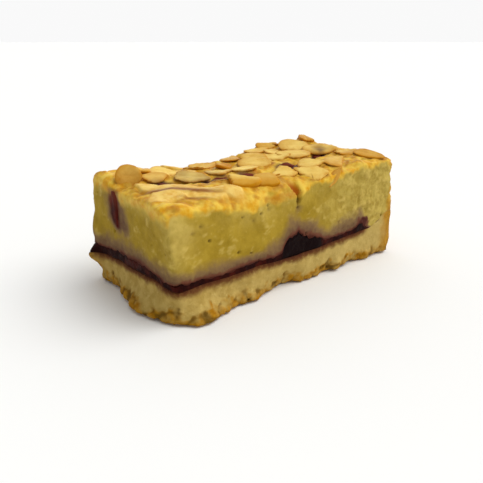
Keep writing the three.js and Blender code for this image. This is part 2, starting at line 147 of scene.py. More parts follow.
# The flaked almonds that show: place, size, turn of the long axis, tip along it, roll about it, lift over
# the crust and thickness; then how toasted, how stained by jam and how golden with syrup it is; whether
# the crust has closed over it; and its straight breaks, each an angle and a distance from the middle
FLAKE_KEYS = ("x", "y", "long", "wide", "turn", "tip", "roll", "lift", "thick")
FLAKE_KEYS += ("toast", "stain", "gold", "buried", "breaks")
FLAKES = [
    (-43.8, 9.8, 8.7, 8.4, -38, 0, 46, 1.7, 1.2, 0.75, 0, 0.25, 0, ()),
    (-28, 14, 11, 8, -40, 0, 10, 0.5, 1.3, 0, 0, 0.1, 0, ((60, 0.7),)),
    (-36, 15, 8, 6, 50, 0, 6, 0.9, 1.6, 0.1, 0, 0.8, 0, ((10, 0.6),)),
    (-25, 1.5, 12, 8, -42, 0, 6, 0.7, 1.2, 0.25, 0.5, 0, 0, ()),
    (-20, -7, 9, 6, -62, 0, -6, 0.5, 1.2, 0, 1, 0, 0, ((200, 0.6),)),
    (-13.5, 1.5, 10, 7.5, -35, 4, 0, 0.6, 1.3, 0.1, 0.35, 0, 0, ((330, 0.7),)),
    (-4.5, 11, 10, 7, 30, 0, 14, 0.8, 1.8, 0.9, 0, 1, 0, ((120, 0.7),)),
    (5, 4, 13, 9, -30, 0, 12, 0.5, 1.3, 0.3, 0, 0.25, 0, ((250, 0.8),)),
    (10.5, 9.5, 12, 8.5, -55, 0, 14, 1, 1.3, 0.3, 0, 0.2, 0, ((20, 0.7),)),
    (26, 21, 9, 7, -30, 0, 20, 0.8, 1.4, 0.35, 0, 0.3, 0, ((80, 0.6),)),
    (21, 12, 10, 8, 20, 0, 12, 0.6, 1.3, 0.3, 0, 0.1, 0, ((140, 0.7), (300, 0.8))),
    (30.5, 10, 12.5, 9, -22, 0, 22, 1.4, 1.3, 0.35, 0, 0.1, 0, ((250, 0.8),)),
    (45, 17, 10, 7, 60, 8, 8, 1.9, 1.6, 0.8, 0, 0.6, 0, ((200, 0.6),)),
    (36, 0.5, 14, 8, -38, 0, 14, 1.2, 1.3, 0.25, 0, 0.1, 0, ()),
    (40, -10, 12, 7.5, -15, 0, 6, 0.4, 1.3, 0.6, 0, 0.6, 0, ((180, 0.7),)),
    (43.5, -18, 12, 8, -65, 0, 6, -0.1, 1.3, 0.6, 0, 0.7, 0, ()),
    (25, -17.5, 13, 8, 20, 0, 10, 0.7, 1.3, 0.5, 0, 0.4, 0, ((300, 0.6),)),
    (16.5, -24.1, 9.5, 3.4, 8, 30, 35, -1.3, 1.6, 1, 0, 0.4, 0, ()),
    (9, -20.5, 12, 9, -35, 0, 22, 0.4, 1.4, 0, 0, 0, 0, ((215, 0.55), (100, 0.75))),
    (15.5, -14.5, 10, 8, -42, 0, 12, 0.9, 1.4, 0, 0, 0, 0, ((50, 0.65), (320, 0.8))),
    (1.5, -15, 11, 8, -28, 0, 18, 0.8, 1.6, 0.1, 0, 0, 0, ((150, 0.6), (20, 0.7))),
    (-17, -15, 13, 9, -40, 0, 8, 1, 2.8, 0, 0, 1, 0, ((190, 0.6), (70, 0.65))),
    (-9, -18.5, 10, 7.5, -36, 0, 8, 0.4, 1.8, 0.35, 0, 1, 0, ((10, 0.7),)),
    (-37, -9, 22, 9.5, -40, 0, 4, 0.4, 1.2, 0.2, 0, 0, 1, ()),
    (-44, -13, 12, 9, -40, 0, 10, -0.2, 1.2, 0.1, 0, 0.1, 1, ((180, 0.75),)),
    (-33.5, -17.5, 15, 9, -36, 0, 12, -0.2, 1.2, 0.15, 0, 0.1, 1, ((270, 0.8),)),
]
FLAKE_THICK = 1.3
# The filling flakes: tries, least distances, and the most that each is tilted, toasted and golden
FILL = {"tries": 60, "apart": 6.2, "from_vein": 4.5, "edge": 3.5, "tilt": 9, "lift": 0.4}
FILL.update(toast=0.6, gold=0.6, snapped=0.6)
FILL_LONG = (9, 14)
FILL_WIDE = (6.5, 8.5)
EVEN_SPREAD = (0.7549, 0.5698)
BURIED_RISE = 0.95  # how far the crust stands up over a flake that it has closed over
BURIED_BELOW = (-25, 0)  # the filling flakes at less than this x and y are closed over by the crust,
BURIED_BACK = 20.8  # and so are those at more than this y
# The brown oval in the great flake at the cut end: its middle, half its length and width, and its turn;
# and the small dark hole beside it
OVAL = {"x": -40, "y": -13.2, "long": 9.8, "wide": 3.1, "turn": -40, "depth": 0.1}
HOLE = {"x": -44.6, "y": -18.6, "spread": 0.9, "depth": 0.8}
# Small soft pits in the front of the sponge, each x and height
FRONT_PITS = [(-14.1, 29.2), (-20.4, 26.8), (-40.5, 29.1), (-43.1, 27.5)]
FLAKE_TAPER = 0.2
# A flake's relief: thinner at its ends, curled along it, bent across it, with a swell and a groove
FLAKE_RELIEF = {"thinner": 0.3, "curl": 0.5, "bend": 0.35, "swell": 0.12}
FLAKE_RELIEF.update(groove=0.16, groove_wide=0.16)
FLAKE_AROUND = 64
FLAKE_PROFILE = np.array([0, 0.14, 0.28, 0.42, 0.56, 0.68, 0.78, 0.86, 0.92, 0.96, 0.985, 1])
SHADOW_SPREAD = 0.16  # the ring round a flake, browned by syrup and darkened as painted shadow, as a share of its size
CRUST_RISE = 2.2  # how far the crust climbs to a level flake; to a steep one less
CRUST_DIP = -0.3  # and how far it sinks at most under one that lies deep
# Round a flake: the shares of its outline between which the crust falls away from an open and from a
# closed one, and how far under an open one's middle plane it ends, and over a closed one's as a share of
# its thickness
GRIP = {"open": (0.9, 1.4), "closed": (0.84, 1.1), "under": 0.2, "over": 0.45}
SLOPE_STEP = 3.5  # the slope that a flake lies on is measured this far to each side of it

# How the skins are made: heights of the walls that set their levels, rounding of their edges, how far in
# a wall's own finish reaches, and the leans at which a face counts as lying or standing
SPONGE_WALL = 23
PASTRY_WALL = 14
CREASE = {"corner": 1.6, "corner_share": 0.4, "top": 1.5, "bottom": 1.3, "pull": 0.7, "rounds": 6}
WALL_FADE = 1.2
FACES_UP = (0.35, 0.8)
FACES_DOWN = (0.85, 0.98)
FACES_OUT = {"sponge": (0.6, 0.95), "jam": (0.6, 0.95), "pastry": (0.7, 0.97)}

# The noises: amount, size, seed and how many layers, each finer and fainter than the one before
NOISE = {
    "soft": (1, 6.0, 71, 3),
    "crumb": (0.75, 4.2, 11, 3),
    "crumb_fine": (0.3, 1.2, 21, 2),
    "torn": (1, 2.0, 26, 3),
    "crust": (1, 4.5, 41, 3),
    "crust_fine": (0.45, 1.6, 51, 2),
    "crack_side": (0.6, 2.5, 61, 2),
    "patch": (1, 3.4, 75, 3),
    "wisps": (1, 1.8, 77, 3),
    "spots": (1, 4.0, 81, 4),
    "pastry_soft": (1, 5.0, 171, 3),
    "foot_line": (1.6, 2.4, 176, 2),
    "dough": (0.3, 5.0, 151, 3),
    "dough_fine": (0.14, 1.3, 161, 3),
    "foot_brown": (0.5, 2.2, 181, 2),
    "pastry_soak": (0.8, 2.2, 178, 3),
    "jam_wave": (1, 3.0, 211, 3),
    "vein": (0.6, 3.0, 221, 3),
    "vein_fine": (0.35, 1.4, 226, 2),
    "flake": (1, 4.5, 301, 2),
}

# Where the crumb is dry and torn: along the front from one x to the other, and by how much at the tin
# end, at the back and at the near corner
DRY = {"front": (2, 26), "wander": 6, "tin": 0.6, "back": 0.5, "corner": 0.8, "corner_spread": 4.5}
# Open pores, and the soft pits above
PORES = {"size": 2.3, "seed": 31, "rare": 0.93, "edge": (0.14, 0.3), "depth": 2.2}
PORES.update(soft=0.8, soft_spread=0.6)
# How high jam has stained the crumb: at each wall and inside, and higher at places along a wall (place,
# spread and how much higher); then how high it is soaked through, and a blot of it at the jam's end
SOAK = {"front": 5.2, "cut": 6.5, "inside": 2.2, "uneven": 0.35, "wet": 1.5, "wet_lump": (2, 8, 1.3)}
SOAK_HIGHER = {"front": [(1, 9, 6), (26, 9, 4.5), (-34, 11, 1.5)], "cut": [(2, 10, 3)]}
BLOT = {"x": 33.5, "height": 15.2, "wide": 4.2, "tall": 3, "ragged": 0.25, "edge": (0.5, 1.15)}
SEAM_PALER = (27, 34)  # the seam's jam grows paler from the one height to the other
# The crust on the walls: how far down it goes, how uneven its edge is, and how much more at the cut end
CRUST = {"down": 0.3, "uneven": 0.6, "cut_more": 0.5, "fade": 1.8}
# The tin end: how deep it is baked, and less by so much below a height, which wanders as its edge does
TIN = {"deep": 1, "less": 1.4, "less_below": (20, 28), "wander": 0.6, "edge": (0.6, 1.4), "share": 0.9}
TIN.update(browner_below=21, browner_edge=1.5)
# Painted light: the crumb lighter at the near corner, under the crust at the cut end and at the sag, where
# more light falls: share and depths
PALE = {"corner": 0.8, "corner_x": 3, "corner_spread": 6, "corner_height": (16, 30)}
PALE.update(cut=(0.8, 1, 7), sag=(0.5, 2, 9))
# The pastry's crumbled foot: its height and edge, where the browned lip starts, and its clumps and pits;
# then the spread of the jutting tip
FOOT = {"height": 3.4, "wander": 1.3, "edge": (0.7, 0.9), "lip": (43, 47)}
FOOT.update(clump={"size": 3, "seed": 131, "reach": 0.55}, pit={"size": 2.4, "seed": 141})
FOOT.update(pit_rare=0.7, pit_edge=(0.12, 0.36), pit_depth=1.2)
TIP_SPREAD = 4

GLOSS = {"sponge": 0.08, "pastry": 0.08, "seam": 0.02, "jam": 0.03, "almond": 0.03}

# The stage, in metres and degrees: half the floor's side and its height, the light, the studio's bright
# side and how bright it is from one side to the other, and the camera, set as the photograph's was
FLOOR = (60.0, -0.0003)
KEY_LIGHT = {"energy": 1.6, "softness": 50, "direction": (-0.45, 0.35, -0.8)}
STUDIO = {"bright_side": (0.75, 0.3, 0), "brightness": (-0.4, 0.3, 0.4, 0.95)}
CAMERA = {"sensor": 36, "focal_pixels": 560, "image_pixels": 483}
CAMERA.update(place=(-0.12928, -0.14996, 0.07929), target=(-0.01432, -0.01164, 0.015))


# ---- Arithmetic of the forms -------------------------------------------------------------------------


def bell(distance, spread):
    """One at no distance, falling smoothly to nothing a few spreads away."""
    return np.exp(-((distance / spread) ** 2))


def smoothstep(value, low, high):
    """Zero below low, one above high, and an S-curve between."""
    t = np.clip((value - low) / (high - low), 0, 1)
    return t * t * (3 - 2 * t)


def mix(a, b, share):
    """A share of the way from a to b."""
    return a + (b - a) * share


def draw(n):
    """A repeatable draw between 0 and 1 for each whole number: the broken part of a large sine."""
    value = math.sin(n * 12.9898) * 43758.5453
    return value - math.floor(value)


def ripple(a, b, length, phase):
    """Three crossing waves, averaged, between -1 and 1."""
    k = 2 * math.pi / length
    first = np.sin(k * (a + 0.4 * b) + phase)
    second = np.sin(k * (0.7 * b - 0.6 * a) + 2.1 * phase)
    third = np.sin(k * (0.5 * a + b) + 3.7 * phase)
    return (first + second + third) / 3


def cell_value(cells, seed):
    """A repeatable value between 0 and 1 for each whole-number cell: its numbers scrambled together."""
    i, j, k = (cells[..., n].astype(np.int64).astype(np.uint32) for n in range(3))
    h = i * np.uint32(374761393) + j * np.uint32(668265263) + k * np.uint32(2246822519)
    h += np.uint32(seed * 3266489917 % 2**32)
    for shift, factor in ((15, 2246822519), (13, 3266489917)):
        h = (h ^ (h >> np.uint32(shift))) * np.uint32(factor)
    return (h ^ (h >> np.uint32(16))) / 2.0**32


def noise(points, size, seed, octaves=1):
    """Smooth noise between -1 and 1: cell values blended across each cell, with finer, fainter layers."""
    total = np.zeros(len(points))
    weight, span = 1.0, 0.0
    for octave in range(octaves):
        place = points / size * 2**octave
        cells = np.floor(place)
        t = place - cells
        t = t * t * t * (t * (6 * t - 15) + 10)
        value = np.zeros(len(points))
        for corner in np.ndindex(2, 2, 2):
            share = np.prod(np.where(corner, t, 1 - t), axis=1)
            value += share * cell_value(cells + corner, seed + octave)
        total += weight * (2 * value - 1)
        span += weight
        weight *= 0.5
    return total / span * 1.6


def grains(points, size, seed):
    """Distance to the nearest of a scatter of seeds, one in each cell, in cell sizes; and its own value."""
    place = points / size
    cells = np.floor(place)
    nearest = np.full(len(points), 9.0)
    own = np.zeros(len(points))
    for offset in np.ndindex(3, 3, 3):
        cell = cells + offset - 1
        seedling = cell + np.stack([cell_value(cell, seed + n) for n in range(3)], axis=1)
        distance = np.linalg.norm(place - seedling, axis=1)
        closer = distance < nearest
        nearest = np.where(closer, distance, nearest)
        own = np.where(closer, cell_value(cell, seed + 5), own)
    return nearest, own


# ---- The slice's own heights and walls ---------------------------------------------------------------


def pastry_top(x, y):
    """A level, a gentle rise along the bar, a lip at the tin and a ripple."""
    rise = PASTRY["rise"] * smoothstep(x, PASTRY["rise_from"], PASTRY["rise_to"])
    lip = PASTRY["lip"] * smoothstep(x, PASTRY["lip_from"], HALF_LENGTH)
    return PASTRY["height"] + rise + lip + PASTRY_RIPPLE * ripple(x, y, PASTRY_RIPPLE_LENGTH, 1)


def jam_share(x):
    """One where the jam has its full depth, and zero beyond its end."""
    return 1 - smoothstep(x, JAM["thin_from"], JAM["thin_to"])


def jam_top(x, y, smeared=0.0):
    """The pastry's top, the jam's depth with a ripple, its lumps and a ragged upper edge.

    The edge is less ragged the more it is smeared, and at 1 it is smooth."""
    depth = JAM["depth"] + JAM["ripple"] * ripple(x, y, JAM["ripple_length"], 2)
    for at_x, at_y, height, wide, deep in JAM_LUMPS:
        depth = depth + height * bell(x - at_x, wide) * bell(y - at_y, deep)
    ragged = JAM_RAGGED * (ripple(x, y, 4.3, 5) + 0.7 * ripple(x, y, 2.1, 8)) * (0.6 + 0.4 * depth)
    ragged = ragged * (1 - smeared) - JAM_PRESSED
    return pastry_top(x, y) + (GAP + depth + ragged) * jam_share(x)


def vein_y(x):
    """A shallow parabola."""
    return VEIN["y"] + VEIN["bend"] * (x - VEIN["x"]) ** 2


def rounding(inside, drop, reach):
    """The drop of the top at an edge: the square of what is left of the reach."""
    return drop * np.clip(1 - inside / reach, 0, 1) ** 2


def sponge_top(x, y):
    """A level with a rise, swells, ripple and furrow, rounded down at its edges."""
    rise = SPONGE["rise"] * smoothstep(x, SPONGE["rise_from"], SPONGE["rise_to"])
    swell = sum(h * bell(np.hypot(x - at_x, y - at_y), spread) for at_x, at_y, h, spread in TOP_SWELLS)
    furrow_left = 1 - smoothstep(x, VEIN["end"], HALF_LENGTH)
    furrow = FURROW_DEPTH * bell(y - vein_y(x), FURROW_SPREAD) * furrow_left
    sag = FRONT_SAG["drop"] * bell(x - FRONT_SAG["x"], FRONT_SAG["wide"])
    ends = rounding(HALF_LENGTH - np.abs(x), TOP_ROUNDING, TOP_ROUNDING_REACH)
    back = rounding(HALF_WIDTH - y, TOP_ROUNDING, TOP_ROUNDING_REACH)
    front = rounding(HALF_WIDTH + y, TOP_ROUNDING + sag, FRONT_SAG["reach"])
    relief = TOP_RIPPLE * ripple(x, y, TOP_RIPPLE_LENGTH, 3)
    return SPONGE["height"] + rise + swell + relief - furrow - ends - back - front


def outward(wall, along, height):
    """How far a wall stands out from the straight cut: a ripple, and a bell for each crumbled place."""
    out = WALL_RIPPLE * ripple(along, height, WALL_RIPPLE_LENGTH, WALL_PHASE[wall])
    for at, at_height, wide, tall, far in CRUMBLE[wall]:
        out = out + far * bell(along - at, wide) * bell(height - at_height, tall)
    return out


def settle(points):
    """Moves points of the straight bar to their places in the real one: each wall's own shape, fading
    inwards, and corners drawn in."""
    x, y, z = points.T

    def near(inside):
        return 1 - smoothstep(inside, 0, WALL_BLEND)

    corner = CORNER * (np.abs(x * y) / (HALF_LENGTH * HALF_WIDTH)) ** CORNER_SHARPNESS
    tin = near(HALF_LENGTH - x) * outward("tin", y, z)
    cut = near(HALF_LENGTH + x) * outward("cut", y, z)
    back = near(HALF_WIDTH - y) * outward("back", x, z)
    front = near(HALF_WIDTH + y) * outward("front", x, z)
    along = x + tin - cut - np.sign(x) * corner
    across = y + back - front - np.sign(y) * corner
    return np.stack([along, across, z], axis=1)


# ---- Skins: closed surfaces as arrays ----------------------------------------------------------------


def block_skin(step, levels, underside, top, start=-HALF_LENGTH, end=HALF_LENGTH, lid_grid=True, rings=8):
    """The closed skin of a block between two height functions, in straight-bar coordinates.

    The lid is a grid over the plan, or rings that shrink to the middle. The walls are levels of the
    plan's border from top to underside, and the floor is rings again. Returns points, quads and
    triangles, all counter-clockwise seen from outside."""
    columns = max(2, round((end - start) / step))
    rows = max(2, round(2 * HALF_WIDTH / step))
    xs = np.linspace(start, end, columns + 1)
    ys = np.linspace(-HALF_WIDTH, HALF_WIDTH, rows + 1)
    plan_x, plan_y = np.meshgrid(xs, ys, indexing="ij")
    ids = np.arange(plan_x.size).reshape(plan_x.shape)
    border = np.concatenate([ids[:-1, 0], ids[-1, :-1], ids[:0:-1, -1], ids[0, :0:-1]])
    bx, by = plan_x.ravel()[border], plan_y.ravel()[border]
    count = len(border)
    middle = (start + end) / 2
    shrink = np.linspace(1, 0, rings + 2)[1:-1]
    ring_x = middle + (bx - middle) * shrink[:, None]
    ring_y = by * shrink[:, None]
    points, quads, triangles = [], [], []

    def add(x, y, z):
        first = sum(len(p) for p in points)
        points.append(np.stack([np.ravel(x), np.ravel(y), np.ravel(z)], axis=1))
        return first + np.arange(np.size(x))

    def band(upper, lower):
        quads.append(np.stack([lower, np.roll(lower, -1), np.roll(upper, -1), upper], axis=1))

    if lid_grid:
        grid = add(plan_x, plan_y, top(plan_x, plan_y)).reshape(plan_x.shape)
        corners = [grid[:-1, :-1], grid[1:, :-1], grid[1:, 1:], grid[:-1, 1:]]
        quads.append(np.stack([c.ravel() for c in corners], axis=1))
        upper = grid.ravel()[border]
    else:
        peak = add([middle], [0.0], top(np.array([middle]), np.array([0.0])))
        inner = None
        for x, y in zip(ring_x[::-1], ring_y[::-1]):
            ring = add(x, y, top(x, y))
            if inner is None:
                fan = [np.repeat(peak, count), ring, np.roll(ring, -1)]
                triangles.append(np.stack(fan, axis=1))
            else:
                band(inner, ring)
            inner = ring
        upper = add(bx, by, top(bx, by))
        band(inner, upper)
    for share in np.linspace(0, 1, levels + 1)[1:]:
        lower = add(bx, by, mix(top(bx, by), underside(bx, by), share))
        band(upper, lower)
        upper = lower
    for x, y in zip(ring_x, ring_y):
        lower = add(x, y, underside(x, y))
        band(upper, lower)
        upper = lower
    peak = add([middle], [0.0], underside(np.array([middle]), np.array([0.0])))
    triangles.append(np.stack([np.roll(upper, -1), upper, np.repeat(peak, count)], axis=1))
    return np.concatenate(points), np.concatenate(quads), np.concatenate(triangles)


def skin_edges(quads, triangles):
    """Both ends of every face's every side."""
    sides = [(quads[:, n], quads[:, (n + 1) % 4]) for n in range(4)]
    sides += [(triangles[:, n], triangles[:, (n + 1) % 3]) for n in range(3)]
    return np.concatenate([a for a, _ in sides]), np.concatenate([b for _, b in sides])


def gather(index, values, count):
    """Adds each row of values into the place that its index names."""
    return np.stack([np.bincount(index, values[:, n], count) for n in range(values.shape[1])], axis=1)


def soften(points, quads, triangles, weight, rounds):
    """Draws each point towards the mean of its neighbours, by its weight, several times over."""
    a, b = skin_edges(quads, triangles)
    count = len(points)
    degree = np.bincount(a, minlength=count)[:, None]
    for _ in range(rounds):
        mean = gather(a, points[b], count) / degree
        points = points + (mean - points) * weight[:, None]
    return points


def skin_normals(points, quads, triangles):
    """Outward unit normals: the cross products of the faces at each point, added up."""
    q, t = points[quads], points[triangles]
    quad_normals = np.cross(q[:, 2] - q[:, 0], q[:, 3] - q[:, 1])
    tri_normals = np.cross(t[:, 1] - t[:, 0], t[:, 2] - t[:, 0])
    index = np.concatenate([quads.T.ravel(), triangles.T.ravel()])
    values = np.concatenate([np.tile(quad_normals, (4, 1)), np.tile(tri_normals, (3, 1))])
    total = gather(index, values, len(points))
    return total / np.maximum(np.linalg.norm(total, axis=1, keepdims=True), 1e-12)


def crease_weight(straight, top, bottom, spread=1.0):
    """Where a skin is rounded: near its upper and lower edges and its upright corners."""
    x, y, z = straight.T
    ax, ay = HALF_LENGTH - np.abs(x), HALF_WIDTH - np.abs(y)
    inside = np.minimum(ax, ay)
    weight = CREASE["corner_share"] * bell(np.hypot(ax, ay), CREASE["corner"] * spread)
    if top is not None:
        weight = np.maximum(weight, bell(np.hypot(inside, top(x, y) - z), CREASE["top"] * spread))
    if bottom is not None:
        weight = np.maximum(weight, bell(np.hypot(inside, z - bottom(x, y)), CREASE["bottom"] * spread))
    return weight


class Skin:
    """A closed skin: its points in the straight bar and in the real one, its walls and its normals.

    A crease weight, if there is one, rounds its edges before the normals are taken."""

    def __init__(self, straight, quads, triangles, crease=None):
        self.quads, self.triangles = quads, triangles
        self.x, self.y, self.z = straight.T
        self.points = settle(straight)
        if crease is not None:
            self.points = soften(self.points, quads, triangles, CREASE["pull"] * crease, CREASE["rounds"])
        self.normals = skin_normals(self.points, quads, triangles)
        inside = {
            "cut": HALF_LENGTH + self.x,
            "tin": HALF_LENGTH - self.x,
            "front": HALF_WIDTH + self.y,
            "back": HALF_WIDTH - self.y,
        }
        # how much each point belongs to each wall: one on it, fading a little way in
        self.walls = {wall: 1 - smoothstep(depth, 0, WALL_FADE) for wall, depth in inside.items()}

    def upward(self):
        """One where the skin lies face up, zero where it is a wall."""
        return smoothstep(self.normals[:, 2], *FACES_UP)

    def standing(self, low, high):
        """One where the skin stands as a wall, zero where it lies flat, face up or face down."""
        return 1 - smoothstep(np.abs(self.normals[:, 2]), low, high)

    def rough(self, name, stretch=1):
        """The named noise at each point, times its amount."""
        amount, size, seed, layers = NOISE[name]
        return amount * noise(self.points * stretch, size, seed, layers)

    def push(self, distance):
        """Moves each point outwards along its normal."""
        self.points = self.points + self.normals * distance[:, None]

    def make(self, name, masks, material, replaced):
        """Makes the piece from the skin as it now is."""
        make_piece(name, self.points, self.quads, self.triangles, masks, material, replaced)


def make_piece(name, points, quads, triangles, masks, material, replaced):
    """Puts a skin, in millimetres, into a smooth-shaded mesh with its masks as point attributes, and
    gives it its material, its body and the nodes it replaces."""
    mesh = bpy.data.meshes.new(name)
    mesh.from_pydata(points * MM, [], quads.tolist() + triangles.tolist())
    mesh.validate()
    for mask, values in masks.items():
        layer = mesh.attributes.new(mask, "FLOAT", "POINT")
        layer.data.foreach_set("value", np.ascontiguousarray(values, dtype=np.float32))
    mesh.polygons.foreach_set("use_smooth", np.ones(len(mesh.polygons), dtype=bool))
    mesh.materials.append(material)
    mesh.update()
    piece = bpy.data.objects.new(name, mesh)
    bpy.context.scene.collection.objects.link(piece)
    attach(piece, BODY)
    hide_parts(*replaced)


# ---- Materials ---------------------------------------------------------------------------------------


class Recipe:
    """A node material that starts from Object coordinates and ends in one shader.

    Its sizes are in millimetres, and each of its steps gives an output that the next one can take."""

    def __init__(self, name):
        self.material = bpy.data.materials.new(name)
        self.material.use_nodes = True
        self.tree = self.material.node_tree
        self.shader = self.tree.nodes["Principled BSDF"]
        self.place = self.node("TexCoord").outputs["Object"]

    def feed(self, socket, value):
        """Links a socket to an output, or sets it to a plain number or colour."""
        if isinstance(value, bpy.types.NodeSocket):
            self.tree.links.new(value, socket)
        elif hasattr(value, "__len__"):
            socket.default_value = (*value[:3], 1.0)
        else:
            socket.default_value = value

    def node(self, kind, **inputs):
        """A new node with its named inputs fed."""
        node = self.tree.nodes.new("ShaderNode" + kind)
        for socket, value in inputs.items():
            self.feed(node.inputs[socket.replace("_", " ")], value)
        return node

    def mask(self, name):
        """A mask of the mesh."""
        node = self.node("Attribute")
        node.attribute_name = name
        return node.outputs["Fac"]

    def height(self, low, high):
        """Zero up to one height over the floor, and one from the other."""
        node = self.node("SeparateXYZ", Vector=self.place)
        return self.span(node.outputs["Z"], low * MM, high * MM)

    def grain(self, size, detail=3.0, roughness=0.55):
        """Noise of the given size."""
        scale = 1 / (size * MM)
        node = self.node("TexNoise", Vector=self.place, Scale=scale, Detail=detail, Roughness=roughness)
        return node.outputs["Fac"]

    def cells(self, size):
        """Distance from the middles of scattered cells of the given size."""
        return self.node("TexVoronoi", Vector=self.place, Scale=1 / (size * MM)).outputs["Distance"]

    def span(self, value, low, high, to_low=0.0, to_high=1.0):
        """The value from low to high, spread smoothly over to_low to to_high."""
        ends = {"From_Min": low, "From_Max": high, "To_Min": to_low, "To_Max": to_high}
        node = self.node("MapRange", Value=value, **ends)
        node.interpolation_type = "SMOOTHSTEP"
        return node.outputs["Result"]

    def combine(self, operation, a, b):
        """Two values added or multiplied, kept between zero and one."""
        node = self.node("Math")
        node.operation = operation
        node.use_clamp = True
        self.feed(node.inputs[0], a)
        self.feed(node.inputs[1], b)
        return node.outputs[0]

    def patches(self, mask, size, detail, low, high, least):
        """A mask that noise thins in patches, down to its least share."""
        thinning = self.span(self.grain(size, detail), low, high, least, 1.0)
        return self.combine("MULTIPLY", self.mask(mask), thinning)

    def blend(self, share, a, b):
        """A share of the way from colour a to colour b."""
        node = self.node("Mix")
        node.data_type = "RGBA"
        self.feed(node.inputs["Factor"], share)
        self.feed(node.inputs[6], a)
        self.feed(node.inputs[7], b)
        return node.outputs[2]

    def stack(self, colour, layers):
        """A colour with layers laid over it in turn, each a share and a colour."""
        for share, over in layers:
            colour = self.blend(share, colour, over)
        return colour

    def relief(self, height, depth, strength=1.0, below=None):
        """Fine relief, laid over the one below."""
        node = self.node("Bump", Height=height, Distance=depth * MM, Strength=strength)
        if below is not None:
            self.feed(node.inputs["Normal"], below)
        return node.outputs["Normal"]

    def finish(self, color, roughness, normal, gloss):
        """Feeds the shader and gives the material."""
        self.feed(self.shader.inputs["Base Color"], color)
        self.feed(self.shader.inputs["Roughness"], roughness)
        self.feed(self.shader.inputs["Normal"], normal)
        self.shader.inputs["Specular IOR Level"].default_value = gloss
        return self.material


def baked_brown(r, c):
    """The brown of pastry that lay against the tin, with golden patches."""
    return r.blend(r.span(r.grain(2.4, 5, 0.6), 0.25, 0.75), c.pastry_brown, c.pastry_gold)


def seam_colour(r, c):
    """The colour of the jam in the seam, on its own piece and where it has soaked into the crumb."""
    low = r.blend(r.span(r.grain(3.0, 3), 0.4, 0.7), c.seam, c.seam_low)
    return r.blend(r.height(*SEAM_PALER), low, c.seam_high)


def sponge_material(c):
    """Moist crumb and dry, with painted shade in pores, pits and the crack and painted light on raised
    crumbs and upper edges; jam soaked into them, the crust, and over it what has browned or soaked in, with
    painted shadow round the flakes.
    """
    r = Recipe("almond_sponge")
    moist = r.blend(r.span(r.grain(4.5, 4), 0.32, 0.68), c.crumb_deep, c.crumb)
    moist = r.blend(r.span(r.grain(1.1, 2), 0.64, 0.78, 0, 0.3), moist, c.crumb_light)
    torn = r.blend(r.span(r.grain(2.4, 5, 0.6), 0.3, 0.7), c.dry_deep, c.dry)
    torn = r.blend(r.span(r.grain(1.9, 3), 0.58, 0.75, 0, 0.4), torn, c.crumb_light)
    golden = r.blend(r.span(r.grain(3.0, 4), 0.35, 0.66), c.crust, c.crust_pale)
    golden = r.blend(r.span(r.grain(4.2, 5), 0.56, 0.74, 0, 0.42), golden, c.crust_amber)
    closed_over = r.blend(r.span(r.grain(3.2, 4), 0.35, 0.7, 0.4, 1.0), c.almond, c.almond_warm)
    stain = r.patches("stain", 1.6, 4, 0.25, 0.7, 0.7)
    soak = r.mask("soak")
    layers = [
        # painted shade: small dark dots where pores would hold shade
        (r.span(r.cells(1.6), 0.13, 0.05, 0, 0.3), c.pore_shade),
        # painted highlight on the raised crumbs
        (r.mask("raised_highlight"), c.raised_highlight),
        # painted shade in the pits and deep in the crack
        (r.mask("shaded_hollow"), c.pore_shade),
        # painted light: lighter crumb near the top of the walls and the near corner
        (r.patches("painted_light", 2.6, 4, 0.3, 0.65, 0.5), c.crumb_light),
        (r.span(stain, 0.0, 0.55, 0.0, 0.9), c.stain_faint),
        (r.span(stain, 0.35, 0.95), c.stain),
        (r.mask("crust"), golden),
        (r.patches("flake", 2.2, 4, 0.25, 0.55, 0.6), closed_over),
        # browning, with painted shadow round the flakes and painted shade in the small hole
        (r.mask("toast"), c.toast),
        (r.mask("baked"), baked_brown(r, c)),
        (r.mask("caramel"), c.caramel),
        (r.patches("oval", 3.0, 4, 0.2, 0.5, 0.7), c.oval),
        (r.span(soak, 0.0, 0.6), c.sponge_soak),
        (r.span(soak, 0.5, 1.0), c.sponge_smear),
        (r.mask("seam"), seam_colour(r, c)),
        (r.span(r.mask("seep"), 0.1, 0.7), c.seep),
    ]
    colour = r.stack(r.blend(r.mask("dry"), moist, torn), layers)
    fine = r.relief(r.grain(0.7, 4, 0.7), 0.16, 0.8)
    coarse = r.relief(r.grain(2.2, 3), 0.3, 0.6, fine)
    return r.finish(colour, r.span(r.mask("crust"), 0.0, 1.0, 0.7, 0.42), coarse, GLOSS["sponge"])


def pastry_material(c):
    """Pale dough in patches, lighter towards the tin end as painted light, browned and pitted at the foot
    and the lip with painted shade in the pits, and jam soaked in at the top.
    """
    r = Recipe("shortcrust")
    dough = r.blend(r.span(r.grain(3.0, 4), 0.3, 0.7), c.pastry_deep, c.pastry)
    soak = r.patches("soak", 1.4, 3, 0.2, 0.6, 0.7)
    layers = [
        (r.span(r.grain(1.3, 3), 0.58, 0.72, 0, 0.5), c.pastry_light),
        # painted light: the dough lighter towards the tin end, as if lit more there
        (r.combine("MULTIPLY", r.mask("painted_light"), 0.35), c.pastry_light),
        (r.mask("brown"), baked_brown(r, c)),
        # painted shade in the pits and between the clumps of the foot
        (r.mask("shaded_hollow"), c.pastry_pit_shade),
        (r.span(soak, 0.0, 0.7), c.pastry_soak),
        (r.span(soak, 0.5, 1.0), c.pastry_smear),
    ]
    fine = r.relief(r.grain(0.6, 4, 0.75), 0.2)
    coarse = r.relief(r.grain(1.8, 3), 0.3, 0.8, fine)
    return r.finish(r.stack(dough, layers), 0.8, coarse, GLOSS["pastry"])


